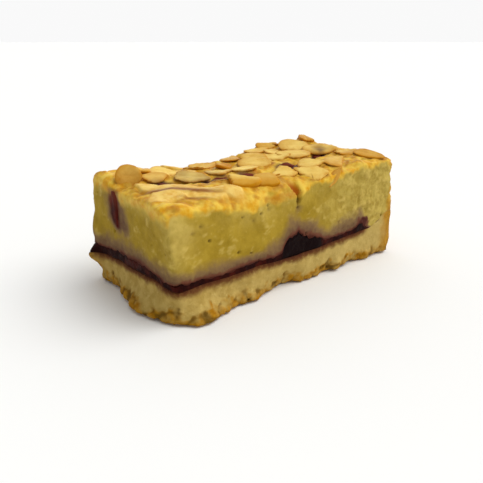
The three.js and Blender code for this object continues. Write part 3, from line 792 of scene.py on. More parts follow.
def seam_material(c):
    """Jam dried in at the top of the vein."""
    r = Recipe("jam_seam")
    return r.finish(seam_colour(r, c), 0.5, r.relief(r.grain(1.5, 3), 0.2), GLOSS["seam"])


def jam_material(c):
    """Dark jam, darkest in its lumps, and wet in patches."""
    r = Recipe("raspberry_jam")
    body = r.blend(r.span(r.grain(4.0, 3), 0.4, 0.7), c.jam, c.jam_bright)
    body = r.blend(r.mask("deep"), body, c.jam_dark)
    wet = r.span(r.grain(2.5, 2), 0.3, 0.7, 0.35, 0.6)
    return r.finish(body, wet, r.relief(r.grain(1.5, 3), 0.3), GLOSS["jam"])


def almond_material(c):
    """Pale almond, each flake of its own warmth, then golden, toasted, freckled and stained by jam."""
    r = Recipe("flaked_almond")
    own = r.combine("MULTIPLY", r.mask("tone"), 0.45)
    warm = r.combine("ADD", r.span(r.grain(3.0, 3), 0.4, 0.8, 0.0, 0.4), own)
    syrup = r.combine("MULTIPLY", r.mask("gold"), r.span(r.mask("side"), 0.0, 1.0, 0.8, 1.0))
    layers = [
        (warm, c.almond_warm),
        (syrup, c.almond_gold),
        (r.patches("toast", 3.4, 4, 0.3, 0.7, 0.5), c.almond_toast),
        (r.span(r.grain(1.3, 3), 0.62, 0.75, 0, 0.3), c.almond_rim),
        (r.patches("rim", 1.8, 3, 0.3, 0.65, 0.3), c.almond_rim),
        (r.mask("stain"), c.almond_stain),
    ]
    fibre = r.relief(r.grain(0.8, 4, 0.6), 0.08)
    shine = r.span(r.grain(2.0, 2), 0.3, 0.7, 0.35, 0.55)
    return r.finish(r.stack(c.almond, layers), shine, fibre, GLOSS["almond"])


# ---- The sponge --------------------------------------------------------------------------------------


def vein_wells(x):
    """One where the vein wells up through the crust, falling to nothing between."""
    return sum(bell(x - at, along) for at, along in VEIN_SHOWS)


def sponge_lid(x, y):
    """The top of the sponge less the bed of the vein: a trough whose soft sides wander."""
    off = np.abs(y - vein_y(x)) + BED["wander"] * ripple(x, y, BED["wander_length"], BED["phase"])
    run = smoothstep(x, *BED["starts"]) * (1 - smoothstep(x, *BED["stops"]))
    return sponge_top(x, y) - BED["depth"] * (1 - smoothstep(off, *BED["sides"])) * run


def sponge_floor(x, y):
    """The jam's upper edge, and beyond the jam a little less, inside the pastry."""
    return jam_top(x, y) - BEYOND_JAM * (1 - jam_share(x))


def crack_notch(skin):
    """The crack's wedge: one midway between its ragged sides, from its foot up, and fading inwards."""
    foot = CRACK["height"][0]
    left = np.interp(skin.z, CRACK["height"], CRACK["left"])
    right = np.interp(skin.z, CRACK["height"], CRACK["right"])
    ragged = skin.x + skin.rough("crack_side")
    notch = np.clip(1 - np.abs(2 * (ragged - left) / (right - left) - 1), 0, 1) ** CRACK["power"]
    notch = notch * smoothstep(skin.z, foot, foot + CRACK["foot_fade"])
    return notch * (1 - smoothstep(HALF_WIDTH + skin.y, CRACK["fades_from"], CRACK["depth"] + 2))


def vein_mark(y, z, soft):
    """On the cut wall, the streak where the vein comes out, and the stain beside it: how far a point is
    from the streak's middle at its height, against half the streak's width there."""
    low, high = STREAK["height"][0], STREAK["height"][-1]
    middle = np.interp(z, STREAK["height"], STREAK["middle"]) + STREAK["wander"] * soft
    half = np.interp(z, STREAK["height"], STREAK["half"]) + STREAK["wander"] * soft
    ends = smoothstep(z, low - 0.5, low + 1.5) * (1 - smoothstep(z, high - 1.2, high + 0.6))
    dark = 1 - 0.3 * smoothstep(z, high - STREAK["paler"][0], high - STREAK["paler"][1])
    inner, outer = STREAK["edge"]
    streak = (1 - smoothstep(np.abs(y - middle), half - inner, half + outer)) * ends * dark
    beside = bell(y - middle + HALO["beside"], HALO["spread"])
    halo = np.maximum(beside, bell(y - middle, half + HALO["wider"]))
    halo = halo * smoothstep(z, low - HALO["below"], low + HALO["from"])
    halo = halo * (1 - smoothstep(z, high - HALO["to"], high - HALO["above"]))
    return streak, halo * np.clip(0.95 + 0.4 * soft, 0, 1)


def oval_mark(x, y):
    """The brown oval: a line where the distance from its middle, along and across, comes to one, broad on
    the far side and thin on the near one."""
    turn = math.radians(OVAL["turn"])
    dx, dy = x - OVAL["x"], y - OVAL["y"]
    along = (dx * math.cos(turn) + dy * math.sin(turn)) / OVAL["long"]
    across = (dy * math.cos(turn) - dx * math.sin(turn)) / OVAL["wide"]
    out = np.hypot(along, across) - 1
    far = bell(out + 0.1, 0.6) * smoothstep(across, 0.1, 0.6)
    near = 0.65 * bell(out, 0.28) * smoothstep(-across, 0.4, 0.8) * smoothstep(along, -0.2, 0.4)
    return np.maximum(far, near)


def flake_shadow(x, y):
    """A ring round each flake, where syrup gathers and browns, with painted shadow under its rim."""
    dark = np.zeros_like(x)
    for flake in flake_list():
        turn = math.radians(flake["turn"])
        dx, dy = x - flake["x"], y - flake["y"]
        along = (dx * math.cos(turn) + dy * math.sin(turn)) / (flake["long"] / 2)
        across = (dy * math.cos(turn) - dx * math.sin(turn)) / (flake["wide"] / 2)
        dark = np.maximum(dark, bell(np.hypot(along, across) - 1.0, SHADOW_SPREAD))
    return dark


def soaked(skin, above, soft, wisps):
    """How stained and how soaked with jam the crumb is, by its height above the jam against the height
    that the jam has reached: a height for each wall, with bells where it has reached higher."""
    heights = {}
    for wall, along in (("front", skin.x), ("cut", skin.y)):
        higher = (more * bell(along - at, wide) for at, wide, more in SOAK_HIGHER[wall])
        heights[wall] = SOAK[wall] + sum(higher)
    reach = mix(SOAK["inside"], heights["front"], skin.walls["front"])
    reach = mix(reach, heights["cut"], skin.walls["cut"])
    reach = reach * jam_share(skin.x) * (1 + SOAK["uneven"] * soft) + 1e-3
    stain = np.clip(1 - above / reach, 0, 1)
    at, wide, more = SOAK["wet_lump"]
    wet = SOAK["wet"] + more * bell(skin.x - at, wide) + 0.8 * wisps
    soak = np.clip(1 - above / wet, 0, 1) * jam_share(skin.x)
    off = np.hypot((skin.x - BLOT["x"]) / BLOT["wide"], (skin.z - BLOT["height"]) / BLOT["tall"])
    blot = 1 - smoothstep(off + BLOT["ragged"] * wisps, *BLOT["edge"])
    return stain, np.maximum(soak, blot * skin.walls["front"])


def build_sponge(sizes, colours):
    """The block between the jam and the crust.

    Crumb relief on the walls and crust relief on the top go along the normals. The crack then goes
    inwards, and the top rises to the flakes and dips at the small hole and the crack."""
    step = sizes.skin_step / MM
    straight, quads, triangles = block_skin(step, round(SPONGE_WALL / step), sponge_floor, sponge_lid)
    skin = Skin(straight, quads, triangles, crease_weight(straight, sponge_lid, None))
    x, y, z, walls = skin.x, skin.y, skin.z, skin.walls
    up, side = skin.upward(), skin.standing(*FACES_OUT["sponge"])
    depth = sponge_top(x, y) - z
    soft = skin.rough("soft")
    dry = smoothstep(x + DRY["wander"] * soft, *DRY["front"]) * walls["front"]
    dry = dry + DRY["tin"] * walls["tin"] + DRY["back"] * walls["back"]
    near_corner = bell(np.hypot(HALF_LENGTH + x, HALF_WIDTH + y), DRY["corner_spread"])
    dry = np.maximum(dry, DRY["corner"] * near_corner)

    # crumb on the walls: fine where it is moist, rougher where it is dry, with a few open pores
    crumb = skin.rough("crumb") + skin.rough("crumb_fine")
    torn = skin.rough("torn", (1, 1, 1.6))
    off_seed, own = grains(skin.points * (1, 1, 1.2), PORES["size"], PORES["seed"])
    pit = (own > PORES["rare"]) * (1 - smoothstep(off_seed, *PORES["edge"]))
    for at, height in FRONT_PITS:
        soft_pit = bell(np.hypot(x - at, z - height), PORES["soft_spread"])
        pit = np.maximum(pit, PORES["soft"] * soft_pit * walls["front"])
    clear = smoothstep(z - jam_top(x, y), 0, 2)
    crumbled = (crumb * (0.6 + 0.5 * dry) + 0.8 * torn * dry) * mix(0.3, 1, clear) - PORES["depth"] * pit
    crusty = skin.rough("crust") + skin.rough("crust_fine")
    relief = (sizes.crumb_relief * side * crumbled + sizes.crust_relief * up * crusty) / MM

    # the crack, the streak of the vein on the cut wall, the crust's rise, the hole and the oval
    notch = crack_notch(skin)
    in_vein, halo = vein_mark(y, z, soft)
    wells = vein_wells(x)
    off_vein = y - vein_y(x)
    lift, closed = crust_lift(x, y)
    lift = lift * (1 - 0.8 * np.clip(wells, 0, 1) * bell(off_vein, 3.0) * (1 - closed))
    hole = bell(np.hypot(x - HOLE["x"], y - HOLE["y"]), HOLE["spread"]) * up
    oval = oval_mark(x, y)
    skin.push(relief * (1 - 0.6 * closed) * (1 - 0.7 * in_vein * walls["cut"]))
    skin.points[:, 1] += notch * CRACK["depth"] * CRACK["share"] * walls["front"]
    skin.points[:, 2] += (lift - OVAL["depth"] * oval) * up - HOLE["depth"] * hole
    skin.points[:, 2] -= notch * up * CRACK["top_dip"]

    # jam soaked into the crumb, and round the vein into the crust
    patch, wisps = skin.rough("patch"), skin.rough("wisps")
    stain, soak = soaked(skin, z - jam_top(x, y, smeared=1.0) + 0.35 * patch, soft, wisps)
    seep = bell(off_vein + 0.5, 2.6 + 1.8 * wells) * up * np.clip(0.35 + 1.2 * wells, 0, 1)
    seep = seep * (1 - smoothstep(x, VEIN["end"] + 2, VEIN["end"] + 7))

    # painted light: crumb lighter just under the crust at the cut end and the sag, and beside the near
    # corner
    painted_light = PALE["corner"] * bell(x + HALF_LENGTH - PALE["corner_x"], PALE["corner_spread"])
    painted_light = painted_light * smoothstep(z, *PALE["corner_height"]) * walls["front"]
    sag = bell(x - FRONT_SAG["x"], FRONT_SAG["wide"]) * walls["front"]
    for where, (share, start, end) in ((walls["cut"], PALE["cut"]), (sag, PALE["sag"])):
        painted_light = np.maximum(painted_light, share * (1 - smoothstep(depth + 1.5 * patch, start, end)) * where)
    painted_light = painted_light * np.clip(0.8 + 0.7 * patch, 0, 1)
    raised = 0.8 * crumb + (0.6 + 0.6 * dry) * torn

    # the golden crust over the top and the tin end, which is browner towards its foot
    edge = CRUST["down"] + CRUST["uneven"] * soft + CRUST["cut_more"] * walls["cut"]
    fade = CRUST["fade"] * (1 + walls["cut"])
    crust = 1 - smoothstep(depth + 1.2 * patch, edge, edge + fade)
    lower = 1 - smoothstep(z, *TIN["less_below"])
    baked_from = HALF_LENGTH - TIN["deep"] - TIN["less"] * lower + TIN["wander"] * soft
    inner, outer = TIN["edge"]
    tin_baked = TIN["share"] * smoothstep(x, baked_from - inner, baked_from + outer)
    crust = np.maximum(crust, tin_baked)
    browner = TIN["browner_below"] + 2.5 * soft + 1.5 * patch
    baked = 1 - smoothstep(z, browner - TIN["browner_edge"], browner + TIN["browner_edge"])
    baked = baked * tin_baked
    spots = smoothstep(skin.rough("spots"), 0.15, 0.75) * crust
    # browning round the flakes, partly painted shadow under their rims
    rings = 0.7 * flake_shadow(x, y) * up * np.clip(0.6 + 0.6 * patch, 0, 1)
    toast = np.maximum(rings, 0.55 * spots) * (1 - closed)
    # painted shade in the small hole
    toast = np.maximum(np.maximum(toast, 0.35 * tin_baked), 0.9 * hole)
    # painted shade deep in the crack
    crack_shade = np.minimum(1.5 * notch, 1) * (1 - smoothstep(z, 29.5, 32))
    masks = {
        "stain": np.clip(np.maximum(stain, halo * walls["cut"]), 0, 0.95),
        "seam": np.clip(in_vein * walls["cut"], 0, 1),
        "soak": np.clip(soak, 0, 1),
        "seep": np.clip(seep * (0.9 + 0.8 * soft), 0, 1),
        "painted_light": np.clip(painted_light, 0, 1),
        "crust": crust,
        "toast": np.clip(toast, 0, 1),
        "caramel": np.minimum(1.8 * notch, 1) * smoothstep(z, 30, 33),
        "baked": baked,
        "flake": closed * up,
        "oval": oval * up,
        # painted highlight: lighter where the crumb stands out
        "raised_highlight": 0.65 * smoothstep(raised, 0.3, 1.1) * side * clear,
        "dry": np.clip(dry, 0, 1),
        # painted shade in the pits and the crack
        "shaded_hollow": np.clip(np.maximum(0.75 * pit * side, crack_shade), 0, 1),
    }
    skin.make("almond_sponge_crumb", masks, sponge_material(colours), ["almond_sponge"])


# ---- The shortcrust, the jam and the vein ------------------------------------------------------------


def level_floor(x, y):
    """The floor itself."""
    return np.zeros_like(x)


def build_pastry(sizes, colours):
    """The block under the jam, lumpier and more broken towards its foot: a clump stands out round each
    scattered seed of the foot, and a few pits go in."""
    step = sizes.skin_step / MM
    levels = round(PASTRY_WALL / step)
    block = block_skin(step, levels, level_floor, pastry_top, lid_grid=False, rings=10)
    skin = Skin(*block, crease_weight(block[0], None, level_floor, 1.2))
    x, y, z = skin.x, skin.y, skin.z
    side = skin.standing(*FACES_OUT["pastry"])
    underneath = smoothstep(-skin.normals[:, 2], *FACES_DOWN)
    soft = skin.rough("pastry_soft")
    foot_line = FOOT["height"] + FOOT["wander"] * soft + skin.rough("foot_line")
    low = 1 - smoothstep(z, foot_line - FOOT["edge"][0], foot_line + FOOT["edge"][1])
    off_clump, own = grains(skin.points, FOOT["clump"]["size"], FOOT["clump"]["seed"])
    clumps = FOOT["clump"]["reach"] - off_clump + 0.5 * (own - 0.5)
    off_pit, pit_own = grains(skin.points, FOOT["pit"]["size"], FOOT["pit"]["seed"])
    pit = (pit_own > FOOT["pit_rare"]) * (1 - smoothstep(off_pit, *FOOT["pit_edge"])) * low
    body = skin.rough("dough") + skin.rough("dough_fine")
    relief = body * (0.5 + low) + (clumps + 0.2) * low - FOOT["pit_depth"] * pit + 0.1
    below = pastry_top(x, y) - z
    skin.push(sizes.pastry_relief / MM * relief * side * mix(1, 0.35, 1 - smoothstep(below, 0, 1.5)))
    skin.points[:, 2] = np.maximum(skin.points[:, 2], 0)

    # brown at the foot, the lip, the jutting tip and underneath, and jam soaked in at the top
    foot = low * (0.75 + skin.rough("foot_brown")) + 0.35 * (1 - smoothstep(z, 0.3, 1.2))
    lip = smoothstep(x, FOOT["lip"][0] + 1.5 * soft, FOOT["lip"][1] + 1.2 * soft)
    tip = bell(np.hypot(x + HALF_LENGTH, y - HALF_WIDTH), TIP_SPREAD)
    brown = np.maximum(np.maximum(foot, 0.9 * lip), 0.9 * (1 - smoothstep(z, 0.0, 0.5)))
    brown = np.maximum(np.maximum(brown, 0.8 * tip), underneath)
    soak = np.clip(1 - below / (3.1 + skin.rough("pastry_soak")), 0, 1) * jam_share(x) * (1 - 0.8 * tip)
    # painted shade: darker in the pits and in the crevices between the clumps
    shaded_hollow = 0.9 * pit + 0.8 * low * smoothstep(off_clump, 0.5, 0.8)
    masks = {
        "brown": np.clip(brown, 0, 1),
        # painted light: lighter towards the tin end
        "painted_light": smoothstep(x, -40, 25),
        "soak": np.clip(soak, 0, 0.95),
        "shaded_hollow": np.clip(shaded_hollow * (1 - underneath), 0, 1),
    }
    skin.make("shortcrust_base", masks, pastry_material(colours), ["pastry_base"])


def jam_under(x, y):
    """The jam's underside, tucked a little into the pastry."""
    return pastry_top(x, y) - JAM_TUCK * jam_share(x)


def jam_over(x, y):
    """The jam's upper side, tucked a little into the sponge."""
    return jam_top(x, y) + JAM_TUCK * jam_share(x)


def build_jam(sizes, colours):
    """The jam between pastry and sponge: its wall bulges a little and tucks in behind both."""
    step = sizes.skin_step / MM
    end = JAM["end"] + 1
    skin = Skin(*block_skin(step, JAM_LEVELS, jam_under, jam_over, end=end, lid_grid=False, rings=6))
    x, y = skin.x, skin.y
    thickness = jam_over(x, y) - jam_under(x, y)
    share = np.clip((skin.z - jam_under(x, y)) / np.maximum(thickness, 1e-6), 0, 1)
    wave = skin.rough("jam_wave")
    bulge = JAM_WALL["bulge"] * smoothstep(np.sin(np.pi * share), *JAM_WALL["edge"])
    out = bulge - JAM_WALL["in"] + JAM_WALL["uneven"] * wave
    skin.push(out * skin.standing(*FACES_OUT["jam"]))
    deep = smoothstep(thickness - 2 * JAM_TUCK + 0.5 * wave, *JAM_DARK["thick"])
    deep = deep * smoothstep(x, *JAM_DARK["from"])
    skin.make("jam_filling", {"deep": deep}, jam_material(colours), ["jam_layer"])


def vein_shape(x):
    """The vein's top and bottom heights along the bar."""
    share = (x - VEIN["start"]) / (VEIN["end"] - VEIN["start"])
    clear = np.maximum(x, VEIN["start"] + TOP_ROUNDING_REACH)
    top = sponge_top(clear, vein_y(x)) - VEIN_BELOW_TOP
    return top, top - mix(*VEIN_DEPTH, share)


def build_vein(sizes, colours):
    """A strip of sections along the furrow: each a leaning wedge with a rounded top, closed at its ends."""
    step = sizes.skin_step / MM
    count = round((VEIN["end"] - VEIN["start"]) / step)
    around = VEIN_AROUND
    xs = np.linspace(VEIN["start"] - 0.1, VEIN["end"], count + 1)
    angle = np.linspace(0, 2 * np.pi, around, endpoint=False)
    up = 0.5 + 0.5 * np.sign(np.sin(angle)) * np.abs(np.sin(angle)) ** 0.8
    across = 0.5 * np.sign(np.cos(angle)) * np.abs(np.cos(angle)) ** 0.55
    top, bottom = vein_shape(xs)
    wave = VEIN_TOP["ripple"] * ripple(xs, 0 * xs, VEIN_TOP["ripple_length"], VEIN_TOP["phase"])
    rise = VEIN_TOP["level"] + VEIN_TOP["wells"] * np.clip(vein_wells(xs), 0, 1) + wave
    top = top + mix(VEIN_TOP["cut_end"], rise, smoothstep(xs, *VEIN_TOP["rises"]))
    grid_x = np.repeat(xs[:, None], around, axis=1)
    width = mix(VEIN_FOOT, VEIN_WIDTH_TOP, smoothstep(up, 0, 0.5))
    width = width * (1 - 0.7 * smoothstep(grid_x, 30, VEIN["end"]))
    grid_y = vein_y(grid_x) + VEIN["lean"] * (up - 0.5) + across * width
    grid_z = mix(bottom[:, None], top[:, None], up)
    rim = np.stack([grid_x.ravel(), grid_y.ravel(), grid_z.ravel()], axis=1)
    middles = np.stack([xs, vein_y(xs), (top + bottom) / 2], axis=1)[[0, -1]]
    ids = np.arange(len(rim)).reshape(count + 1, around)
    a, b = ids[:-1], ids[1:]
    quads = np.stack([a, np.roll(a, -1, 1), np.roll(b, -1, 1), b], axis=-1).reshape(-1, 4)
    first, last = np.full(around, len(rim)), np.full(around, len(rim) + 1)
    start_fan = np.stack([first, np.roll(ids[0], -1), ids[0]], axis=1)
    end_fan = np.stack([last, ids[-1], np.roll(ids[-1], -1)], axis=1)
    skin = Skin(np.concatenate([rim, middles]), quads, np.concatenate([start_fan, end_fan]))
    skin.push((skin.rough("vein") + skin.rough("vein_fine")) * smoothstep(skin.x, -50, -47))
    skin.make("jam_seam", {}, seam_material(colours), ["jam_vein"])


# ---- The flaked almonds ------------------------------------------------------------------------------


def flake_list():
    """The named flakes, then the filling ones: an even spread of tries, kept where they lie clear of the
    flakes before them and of the vein."""
    flakes = [dict(zip(FLAKE_KEYS, values)) for values in FLAKES]
    for n in range(1, FILL["tries"] + 1):
        x = mix(-1, 1, n * EVEN_SPREAD[0] % 1) * (HALF_LENGTH - FILL["edge"])
        y = mix(-1, 1, n * EVEN_SPREAD[1] % 1) * (HALF_WIDTH - FILL["edge"])
        close = any(math.hypot(f["x"] - x, f["y"] - y) < FILL["apart"] for f in flakes)
        if close or abs(y - vein_y(x)) < FILL["from_vein"]:
            continue
        long, wide, turn = mix(*FILL_LONG, draw(n)), mix(*FILL_WIDE, draw(n + 100)), 180 * draw(n + 400)
        tip, roll = (mix(-1, 1, draw(n + more)) * FILL["tilt"] for more in (200, 300))
        toast, gold = FILL["toast"] * draw(n + 500), FILL["gold"] * draw(n + 600)
        snapped = ((360 * draw(n + 800), 0.6 + 0.3 * draw(n + 900)),)
        breaks = snapped if draw(n + 700) < FILL["snapped"] else ()
        closed = (x < BURIED_BELOW[0] and y < BURIED_BELOW[1]) or y > BURIED_BACK
        lies = (x, y, long, wide, turn, tip, roll, FILL["lift"], FLAKE_THICK)
        flakes.append(dict(zip(FLAKE_KEYS, (*lies, toast, 0, gold, closed, breaks))))
    return flakes


def flake_frame(flake):
    """A flake's middle and its turning: rolled, tipped and turned, then laid on the slope of the top."""
    lie = Euler((math.radians(flake["roll"]), math.radians(-flake["tip"]), 0)).to_matrix()
    turn = Euler((0, 0, math.radians(flake["turn"]))).to_matrix()
    x, y = flake["x"], flake["y"]
    slope_x = (sponge_top(x + SLOPE_STEP, y) - sponge_top(x - SLOPE_STEP, y)) / (2 * SLOPE_STEP)
    slope_y = (sponge_top(x, y + SLOPE_STEP) - sponge_top(x, y - SLOPE_STEP)) / (2 * SLOPE_STEP)
    tilt = Vector((0, 0, 1)).rotation_difference(Vector((-slope_x, -slope_y, 1))).to_matrix()
    place = np.array([x, y, sponge_top(x, y) + flake["lift"]])
    return place, np.array(tilt @ turn @ lie)


def flake_outline(flake, phase, number):
    """The outline by its angle: an oval that tapers, made uneven by three waves and cut off by straight
    breaks, which move what lies beyond them back onto their lines."""
    theta = np.linspace(0, 2 * np.pi, FLAKE_AROUND, endpoint=False)
    wave = 0.045 * np.sin(3 * theta + phase) + 0.035 * np.sin(5 * theta + 2 * phase)
    wave = wave + 0.02 * np.sin(11 * theta + 3 * phase)
    radius = 1 + (0.3 + 1.4 * draw(number + 63)) * wave
    ox = radius * np.cos(theta)
    oy = radius * np.sin(theta) * (1 - FLAKE_TAPER * np.cos(theta))
    for angle, distance in flake["breaks"]:
        nx, ny = math.cos(math.radians(angle)), math.sin(math.radians(angle))
        rough = 0.03 * np.sin(14 * theta + phase)
        beyond = np.maximum(ox * nx + oy * ny - distance + rough, 0)
        ox, oy = ox - beyond * nx, oy - beyond * ny
    return ox, oy


def flake_points(flake, number, scale):
    """One flake: its outline, times a rounded coin profile, curled and grooved, then laid down.

    The two parameters are the angle round the outline and the way from the middle of the underside over
    the rim to the middle of the top."""
    reach = np.concatenate([FLAKE_PROFILE, FLAKE_PROFILE[-2::-1]])
    face = np.where(np.arange(len(reach)) < len(FLAKE_PROFILE), -1.0, 1.0)
    phase = 6.28 * draw(number + 31)
    ox, oy = flake_outline(flake, phase, number)
    along, across = np.outer(ox, reach), np.outer(oy, reach)
    shell = np.sqrt(np.clip(1 - reach ** (3 + 3 * flake["thick"]), 0, 1)) * face * 0.5
    form = FLAKE_RELIEF
    height = flake["thick"] * scale * shell * (1 - form["thinner"] * np.abs(along))
    height = height + form["curl"] * along**2 + form["bend"] * across**2 * math.sin(phase)
    height = height + form["swell"] * np.sin(3.5 * along + phase) * np.cos(2 * across)
    groove = form["groove"] * bell(across, form["groove_wide"]) * (1 - along**2) * (face > 0)
    local = np.stack([along * flake["long"] / 2, across * flake["wide"] / 2, height - groove], axis=-1)
    place, rotation = flake_frame(flake)
    points = local.reshape(-1, 3) @ rotation.T + place
    patch = noise(points, *NOISE["flake"][1:])
    wells = np.clip(vein_wells(points[:, 0]), 0, 1) * bell(points[:, 1] - vein_y(points[:, 0]), 3.4)
    near = mix(0.5, 1, smoothstep(-across.ravel(), -0.35, 0.25))
    uneven = 1 + 0.5 * math.cos(phase) * along + 0.4 * math.sin(phase) * across
    stain = flake["stain"] * np.clip(0.8 + 0.5 * patch, 0, 1)
    masks = {
        "rim": np.tile(reach**5, (FLAKE_AROUND, 1)),
        "tone": np.full(along.shape, draw(number + 811)),
        "side": np.tile(smoothstep(reach, 0.88, 0.985), (FLAKE_AROUND, 1)),
        "toast": np.clip(flake["toast"] * uneven, 0, 1),
        "stain": np.maximum(stain, 0.8 * wells * np.clip(0.5 + patch, 0, 1)),
        "gold": np.clip(flake["gold"] * near + 0.25 * patch, 0, 1),
    }
    return points, {name: np.ravel(values) for name, values in masks.items()}


def flake_reach(flake, x, y):
    """Over the plan, the height of a flake's middle plane, and how far out a point lies on it, as a share
    of its outline: an oval that tapers, cut off by its straight breaks."""
    place, rotation = flake_frame(flake)
    dx, dy = x - place[0], y - place[1]
    normal = rotation[:, 2]
    rise = -(normal[0] * dx + normal[1] * dy) / normal[2]
    along, across = (dx * axis[0] + dy * axis[1] + rise * axis[2] for axis in rotation.T[:2])
    along, across = along / (flake["long"] / 2), across / (flake["wide"] / 2)
    reach = np.hypot(along, across / (1 - FLAKE_TAPER * np.clip(along, -1, 1)))
    for angle, distance in flake["breaks"]:
        turn = math.radians(angle)
        reach = np.maximum(reach, (along * math.cos(turn) + across * math.sin(turn)) / distance)
    return place[2] + rise, reach


def crust_lift(x, y):
    """How far the crust rises to meet the flakes, and where it has closed over one.

    It rises to just under a flake's plane, never more than a set height, so that the steep ones still
    stand open. A buried flake is the crust itself, risen to its upper face within its ragged outline."""
    lift, closed = np.zeros_like(x), np.zeros_like(x)
    ragged = 0.05 * ripple(x, y, 5, 3) + 0.04 * ripple(x, y, 2.3, 7)
    for flake in flake_list():
        plane, reach = flake_reach(flake, x, y)
        if flake["buried"]:
            over = plane + GRIP["over"] * flake["thick"]
            wanted = np.clip(over - sponge_top(x, y), CRUST_DIP, BURIED_RISE)
            inside = 1 - smoothstep(reach + ragged, *GRIP["closed"])
            closed = np.maximum(closed, inside)
        else:
            under = plane - GRIP["under"] - 0.5 * (flake["thick"] - FLAKE_THICK)
            level = math.cos(math.radians(flake["roll"]))
            wanted = np.clip(under - sponge_top(x, y), CRUST_DIP, CRUST_RISE * level**6)
            inside = 1 - smoothstep(reach, *GRIP["open"])
        lift = np.maximum(lift, wanted * inside)
    return lift, closed


def build_flakes(sizes, colours):
    """All the flakes that lie open, as one mesh of closed shells."""
    flakes = [flake for flake in flake_list() if not flake["buried"]]
    made = [flake_points(flake, number, sizes.flake_thickness) for number, flake in enumerate(flakes)]
    across = 2 * len(FLAKE_PROFILE) - 1
    a = np.arange(len(flakes) * FLAKE_AROUND * across).reshape(-1, FLAKE_AROUND, across)
    # one point closes each pole, and the others that fall on it are left out
    a[:, :, 0], a[:, :, -1] = a[:, :1, 0], a[:, :1, -1]
    b = np.roll(a, -1, axis=1)
    rings = [a[..., 1:-2], b[..., 1:-2], b[..., 2:-1], a[..., 2:-1]]
    quads = np.stack(rings, axis=-1).reshape(-1, 4)
    below = np.stack([a[..., 0], b[..., 1], a[..., 1]], axis=-1).reshape(-1, 3)
    above = np.stack([a[..., -2], b[..., -2], a[..., -1]], axis=-1).reshape(-1, 3)
    triangles = np.concatenate([below, above])
    used = np.unique(np.concatenate([quads.ravel(), triangles.ravel()]))
    quads, triangles = np.searchsorted(used, quads), np.searchsorted(used, triangles)
    points = np.concatenate([own for own, _ in made])[used]
    masks = {name: np.concatenate([own[name] for _, own in made])[used] for name in made[0][1]}
    material = almond_material(colours)
    make_piece("almond_flakes", points, quads, triangles, masks, material, ["almond_sponge"])


# ---- The stage ---------------------------------------------------------------------------------------


def place_on_stage(name, data, location=(0, 0, 0), look=None):
    """Puts an object into the scene, turned to look along a direction."""
    thing = bpy.data.objects.new(name, data)
    thing.location = location
    if look is not None:
        thing.rotation_euler = Vector(look).to_track_quat("-Z", "Y").to_euler()
    bpy.context.scene.collection.objects.link(thing)
    return thing


def build_stage(colours):
    """A pale floor, a soft light, a studio that is brighter on one side, and the camera."""
    far, low = FLOOR
    corners = [(-far, -far, low), (far, -far, low), (far, far, low), (-far, far, low)]
    mesh = bpy.data.meshes.new("floor")
    mesh.from_pydata(corners, [], [(0, 1, 2, 3)])
    recipe = Recipe("floor")
    recipe.feed(recipe.shader.inputs["Base Color"], colours.floor)
    recipe.feed(recipe.shader.inputs["Roughness"], 0.9)
    mesh.materials.append(recipe.material)
    floor = place_on_stage("floor", mesh)

    sun = bpy.data.lights.new("key_light", "SUN")
    sun.energy = KEY_LIGHT["energy"]
    sun.angle = math.radians(KEY_LIGHT["softness"])
    place_on_stage("key_light", sun, look=KEY_LIGHT["direction"])

    world = bpy.data.worlds.new("studio")
    world.use_nodes = True
    nodes, links = world.node_tree.nodes, world.node_tree.links
    direction = nodes.new("ShaderNodeTexCoord").outputs["Generated"]
    toward = nodes.new("ShaderNodeVectorMath")
    toward.operation = "DOT_PRODUCT"
    toward.inputs[1].default_value = STUDIO["bright_side"]
    brightness = nodes.new("ShaderNodeMapRange")
    for socket, number in zip(("From Min", "From Max", "To Min", "To Max"), STUDIO["brightness"]):
        brightness.inputs[socket].default_value = number
    links.new(direction, toward.inputs[0])
    links.new(toward.outputs["Value"], brightness.inputs["Value"])
    links.new(brightness.outputs["Result"], nodes["Background"].inputs["Strength"])
    nodes["Background"].inputs["Color"].default_value = (1, 1, 1, 1)
    bpy.context.scene.world = world
    bpy.context.scene.view_settings.view_transform = "Standard"

    camera = bpy.data.cameras.new("camera")
    camera.sensor_width = CAMERA["sensor"]
    camera.lens = CAMERA["focal_pixels"] / CAMERA["image_pixels"] * CAMERA["sensor"]
    look = Vector(CAMERA["target"]) - Vector(CAMERA["place"])
    bpy.context.scene.camera = place_on_stage("camera", camera, CAMERA["place"], look)


# ---- What a user can change --------------------------------------------------------------------------


def srgb(red, green, blue):
    """A colour given as it looks on screen, 0 to 255, as linear light."""
    shares = (value / 255 for value in (red, green, blue))
    return tuple(((v + 0.055) / 1.055) ** 2.4 if v > 0.04 else v / 12.92 for v in shares)


def colour(name, *rgb):
    """A colour that a user can change."""
    look = {"subtype": "COLOR", "size": 3, "min": 0, "max": 1}
    return FloatVectorProperty(name=name, description=name, default=srgb(*rgb), **look)


def length(name, description, default):
    """A length that a user can change, in metres."""
    return FloatProperty(name=name, description=description, unit="LENGTH", precision=5, default=default)


class BakewellSizes(bpy.types.PropertyGroup):
    """Sizes of the finish."""

    skin_step: length("Skin step", "Spacing of the points of a skin", 0.00042)
    crumb_relief: length("Crumb relief", "Depth of the sponge's crumb", 0.00030)
    crust_relief: length("Crust relief", "Depth of the crust's bumps", 0.00040)
    pastry_relief: length("Pastry relief", "Depth of the pastry's crumbs", 0.0011)
    flake_thickness: FloatProperty(
        name="Flake thickness",
        description="Scales each flake's thickness",
        subtype="FACTOR",
        min=0.5,
        max=2.0,
        default=1.0,
    )


